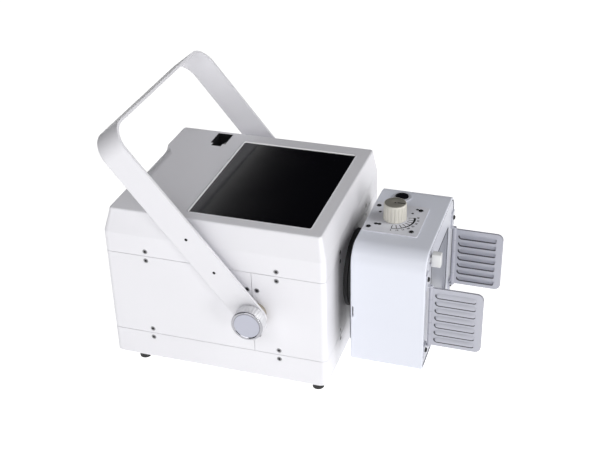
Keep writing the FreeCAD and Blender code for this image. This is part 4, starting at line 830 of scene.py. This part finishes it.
exit_x = 222.0
exit_middle = (0, beam_height)
plate_half = (73.0, 68.5)
plate_corners = (17.5, 17.5, 2.0, 2.0)
window_half = (44.3, 41.8)
window_corner = 1.5
ridge_width = 1.4
ridge_low = exit_x - 0.02
ridge_high = exit_x + 0.3
ridge = [(-ridge_width, ridge_low), (0.0, ridge_low), (0.0, ridge_high), (-ridge_width, ridge_high)]
plate_line = moulding(exit_middle, plate_half, plate_corners, ridge)[..., [2, 0, 1]]
window_line = moulding(exit_middle, window_half, window_corner, ridge)[..., [2, 0, 1]]
make_piece("exit_shade_lines", np.concatenate([plate_line, window_line]), painted_shade_grey, "collimator",
           wrap_rows=True, wrap_columns=True)

catch_middle = (-50.0, 155.4)
catch_half = (4.5, 7.6)
catch_corner = 1.4
stem_half = (3.0, 3.0)
stem_corner = 0.3
stem_back_x = 215.0
stem_front_x = 224.1
catch_face_x = 233.5
#                 distance along the beam, inset
catch_section = [(224.0, 0.3), (224.3, 0.0), (232.6, 0.0), (233.2, 0.25), (catch_face_x, 0.8)]
outline = corner_path(catch_middle, catch_half, catch_corner, 5)
columns = [np.column_stack([np.full(len(outline), x), catch_middle + (outline - catch_middle)
                            * (1 - inset / np.array(catch_half))]) for x, inset in catch_section]
last = np.tile((catch_face_x, *catch_middle), (len(outline), 1))
stem = corner_path(catch_middle, stem_half, stem_corner, 5)
stem_columns = [np.column_stack([np.full(len(stem), x), stem]) for x in (stem_back_x, stem_front_x)]
stem_end = np.tile((stem_back_x, *catch_middle), (len(stem), 1))
block = np.stack([stem_end, *stem_columns, *columns, last], 1)
button = make_piece("catch_button", block[None], button_cream, "release_push",
                    wrap_rows=True)
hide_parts("release_button")

# %% [markdown]
# ## Edge of the screen
# The pocket of the glass has a crisp bright bevel. It shows along the far and the left side,
# where it leans towards the light, as on the real machine, and its whiter finish is a painted
# highlight that makes the line brighter. The piece is a thin moulding: a bevel, a narrow lip, and
# a long gentle slope down to the top of the case, carried round the outline.

# %% Screen edge
case_top = 195.0
glass_top = 194.2
screen_middle = (36.4, -2.8)
screen_half = (68.0, 87.0)
screen_corner = 2.0
#                outward, height
edge_section = [(-0.55, glass_top + 0.01), (0.20, case_top + 0.30), (0.45, case_top + 0.36),
                (0.65, case_top + 0.34), (1.9, case_top + 0.01), (1.9, case_top - 0.05),
                (0.05, case_top - 0.05), (-0.05, glass_top + 0.01)]
# Whiter than the case: a painted highlight on the bevel and lip.
painted_highlight_white = finish("painted_highlight_white", (0.97, 0.97, 0.98), 0.30, grain=0.002, grain_depth=0.000003,
                     drift=0.01, edge_radius=0.0001, coat=0.4)
make_piece("screen_edge", moulding(screen_middle, screen_half, screen_corner, edge_section),
           case_white, "root", wrap_rows=True, wrap_columns=True,
           second=painted_highlight_white, second_columns=(0, 1))

# %% [markdown]
# ## The modular socket
# A black sleeve lines the hole in the top, with the notch for the plug's latch, and eight sprung
# wires lean into the well. The sleeve's outline is a list of corners; the inner outline is the
# same one moved inwards along the two walls that meet at each corner. A wire is a round bar along
# a bent path.

# %% Socket
port_x = -60.9
port_y = 84.8
well_half_x = 18.7 / 2
well_half_y = 26.5 / 2
notch_half = 6.0
notch_reach = well_half_y + 6.7
sleeve_wall = 0.7
well = np.array([(-well_half_x, -well_half_y), (-notch_half, -well_half_y),
                 (-notch_half, -notch_reach), (notch_half, -notch_reach),
                 (notch_half, -well_half_y), (well_half_x, -well_half_y),
                 (well_half_x, well_half_y), (-well_half_x, well_half_y)]) + (port_x, port_y)


def inset_corners(corners, distance):
    """Corners moved inwards from both walls that meet there; the corners go round anticlockwise."""
    ahead = np.roll(corners, -1, 0) - corners
    ahead /= np.linalg.norm(ahead, axis=1, keepdims=True)
    inward = np.stack([-ahead[:, 1], ahead[:, 0]], -1)
    return corners + distance * (inward + np.roll(inward, 1, 0))


inner_well = inset_corners(well, sleeve_wall)
outer_well = inset_corners(well, 0.02)
sleeve_low = 190.6
sleeve_high = case_top + 0.02
sleeve = np.stack([np.column_stack([outline, np.full(8, height)]) for outline, height in
                   ((outer_well, sleeve_low), (inner_well, sleeve_low), (inner_well, sleeve_high),
                    (outer_well, sleeve_high))], 1)
make_piece("port_sleeve", sleeve[None], moulded_black, "root",
           wrap_rows=True, wrap_columns=True)

wire_count = 8
wire_pitch = 1.9
wire_radius = 0.36
wire_path = np.array([(8.6, 189.2), (7.6, 190.2), (6.0, 189.6), (0.0, 185.4), (-1.4, 184.0)])
wires = []
for index in range(wire_count):
    y = port_y + (index - (wire_count - 1) / 2) * wire_pitch
    path = np.column_stack([port_x + wire_path[:, 0], np.full(len(wire_path), y), wire_path[:, 1]])
    wires.append(bar(path, wire_radius, (0, 1, 0)))
contacts = make_piece("port_wires", wires, tin_grey, "root", wrap_columns=True)
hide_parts("port_contacts")

# %% [markdown]
# ## Field knob
# The knob is a fluted drum. Going round it, the radius is that of the drum less a narrow groove,
# and the groove is a cosine raised to a high power, which keeps the ribs broad. The grooves fade
# out at the rim and the foot. A flat olive disc closes the top, with a pointer line from its
# middle to the rim.

# %% Field knob
dial_x = 172.5
dial_y = -4.8
dial_top = 171.0
knob_foot = 171.4
knob_top = 190.7
rib_count = 18
groove_depth = 0.85
groove_power = 5
knob_turns = rib_count * 10
#                 radius, height over the foot, share of groove
drum_profile = np.array([(3.4, 0.0, 0), (12.4, 0.0, 0), (12.8, 0.4, 0), (12.8, 1.2, 0),
                         (12.65, 1.6, 1), (12.6, 6.0, 1), (12.5, 12.0, 1), (12.4, 16.9, 1),
                         (12.35, 17.6, 0), (12.2, 18.5, 0), (11.9, 19.0, 0), (11.3, 19.2, 0),
                         (11.3, 18.0, 0), (3.4, 18.0, 0)])
drum_turn = np.linspace(0, 2 * np.pi, knob_turns, endpoint=False)[:, None]
groove = ((1 + np.cos(rib_count * drum_turn)) / 2) ** groove_power
drum_radius = drum_profile[:, 0] - groove_depth * groove * drum_profile[:, 2]
drum_grid = lathe("z", (dial_x, dial_y, knob_foot), drum_radius, drum_profile[:, 1], knob_turns)
drum = make_piece("knob_drum", drum_grid, knob_cream, "knob", wrap_rows=True,
                  wrap_columns=True)
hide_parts("field_knob")

cap_radius = [0, 11.25, 11.25, 11.0, 1.15, 1.0, 1.0, 0]
cap_height = [-1.3, -1.3, -0.15, 0.0, 0.0, -0.1, -0.6, -0.6]
cap_grid = lathe("z", (dial_x, dial_y, knob_top), cap_radius, cap_height, turns=64)
# The small hole in the middle of the cap is near black: painted shade in the hole.
cap = make_piece("knob_face", cap_grid, cap_olive, "knob", wrap_rows=True,
                 second=black_and_hollow_shade, second_columns=(5, 6))
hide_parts("knob_cap")
pointer_reach = np.linspace(2.6, 11.0, 4)
pointer_path = np.stack([dial_x + pointer_reach, np.full(4, dial_y)], -1)
pointer = slab(pointer_path, [0.7, 0.8, 0.8, 0.8], knob_top - 0.1, knob_top + 0.05)
make_piece("knob_pointer", pointer[None], black_and_hollow_shade, "knob", wrap_columns=True)

# %% [markdown]
# ## Lamp button
# The button is a black dome in a pale collar that slides in the grey bezel. Both are one lathe,
# with the collar's cells in the pale finish.

# %% Lamp button
button_foot = (168.5, 44.6, 166.5)
button_radius = [0, 8.6, 8.6, 8.4, 7.75, 7.7, 7.5, 6.9, 4.5, 0]
button_height = [0, 0, 4.75, 4.95, 5.0, 5.35, 5.62, 5.8, 5.93, 5.97]
button = make_piece("lamp_button_dome", lathe("z", button_foot, button_radius, button_height),
                    gloss_black, "lamp_push", wrap_rows=True,
                    second=bezel_grey, second_columns=(0, 1, 2, 3))
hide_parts("lamp_button")

# %% [markdown]
# ## Marks of the dial
# The scale is printed: an arc that grows thick towards the wide end, short lines that point at
# the knob, plain numbers outside them and a few dots. Each mark is a slab a few hundredths of a
# millimetre high. Lines and the arc are a flat section carried along a path; the numbers are text
# made into a mesh. Black round-headed screws hold the plate at its corners.

# %% Dial marks
print_low = dial_top - 0.02
print_high = dial_top + 0.06
print_black = finish("print_black", (0.012, 0.012, 0.014), 0.5, grain=0.0005, grain_depth=0.000002,
                     edge_radius=0.00005)


def dial_arc(radius, start_deg, end_deg, width_start, width_end, steps=40):
    """Part of a circle about the knob, whose width changes evenly along it."""
    turn = np.radians(np.linspace(start_deg, end_deg, steps))
    path = np.stack([dial_x + radius * np.cos(turn), dial_y + radius * np.sin(turn)], -1)
    return slab(path, np.linspace(width_start, width_end, steps) / 2, print_low, print_high)[None]


arc_radius = 21.8
scale_start = -87.0
wide_start = -60.0
scale_end = 17.0
thin_width = 0.9
wide_width = 2.7
number_count = 8
number_step = 5
number_size = 3.4
number_gap = 3.6
number_weight = 0.09
thin_arc = dial_arc(arc_radius, scale_start, scale_end, thin_width, thin_width)
make_piece("dial_arc_thin", thin_arc, print_black, "collimator", wrap_columns=True)
wide_arc = dial_arc(arc_radius - 0.4, wide_start, scale_end, thin_width, wide_width)
make_piece("dial_arc_wide", wide_arc, print_black, "collimator", wrap_columns=True)
tick_angles = np.linspace(scale_start, scale_end, number_count)
tick_grids = []
for angle in np.radians(tick_angles):
    reach = np.linspace(14.6, arc_radius, 3)
    path = np.stack([dial_x + reach * np.cos(angle), dial_y + reach * np.sin(angle)], -1)
    tick_grids.append(slab(path, np.full(3, 0.42), print_low, print_high))
make_piece("dial_ticks", tick_grids, print_black, "collimator", wrap_columns=True)

dot_places = [(155.4, -20.6), (159.3, -20.6), (153.6, 5.6), (188.4, 10.8), (191.6, 20.4)]
dot_radii = [2.2, 2.2, 1.7, 1.4, 1.7]
dots = [lathe("z", (x, y, dial_top), [0, r, r, 0], [-0.02, -0.02, 0.06, 0.06], turns=20)[0]
        for (x, y), r in zip(dot_places, dot_radii)]
make_piece("dial_dots", dots, print_black, "collimator", wrap_rows=True)

dial_low, dial_high = [1000 * np.array(corner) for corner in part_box("dial_screws")]
head_reach = 2.7
screw_corners = [(x, y) for x in (dial_low[0] + head_reach, dial_high[0] - head_reach)
                 for y in (dial_low[1] + head_reach, dial_high[1] - head_reach)]
dome_radius = [0, head_reach, head_reach, 2.3, 1.2, 1.0, 0.9, 0]
dome_height = [-0.6, -0.6, 0.25, 0.75, 1.0, 0.95, 0.45, 0.4]
domes = [lathe("z", (x, y, dial_top), dome_radius, dome_height, turns=20)[0]
         for x, y in screw_corners]
dial_heads = make_piece("dial_screw_heads", domes, gloss_black, "collimator",
                        wrap_rows=True)
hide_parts("dial_screws")
print("dial screws at", [(round(x, 1), round(y, 1)) for x, y in screw_corners])


def numeral(text, size, x, y, turn):
    """Mesh of one printed number, centred on a place and turned in the plane of the dial."""
    curve = bpy.data.curves.new("numeral_" + text, "FONT")
    curve.body = text
    curve.size = size * mm
    curve.align_x = "CENTER"
    curve.align_y = "CENTER"
    curve.extrude = (print_high - print_low) * mm / 2
    curve.offset = number_weight * mm
    curve.resolution_u = 3
    writer = bpy.data.objects.new("writer", curve)
    mesh = bpy.data.meshes.new_from_object(writer)
    mesh.transform(Matrix.Translation((x * mm, y * mm, (print_low + print_high) / 2 * mm))
                   @ Matrix.Rotation(turn, 4, "Z"))
    bpy.data.objects.remove(writer)
    return mesh


numbers = bmesh.new()
for index, angle in enumerate(tick_angles):
    turn = math.radians(angle)
    reach = arc_radius + number_gap
    mesh = numeral(str(number_step * (index + 1)), number_size, dial_x + reach * math.cos(turn),
                   dial_y + reach * math.sin(turn), turn + math.pi / 2)
    numbers.from_mesh(mesh)
number_mesh = bpy.data.meshes.new("dial_numbers")
numbers.to_mesh(number_mesh)
numbers.free()
number_mesh.materials.append(print_black)
dial_numbers = bpy.data.objects.new("dial_numbers", number_mesh)
bpy.context.scene.collection.objects.link(dial_numbers)
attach(dial_numbers, "collimator")
print("numbers:", len(tick_angles))
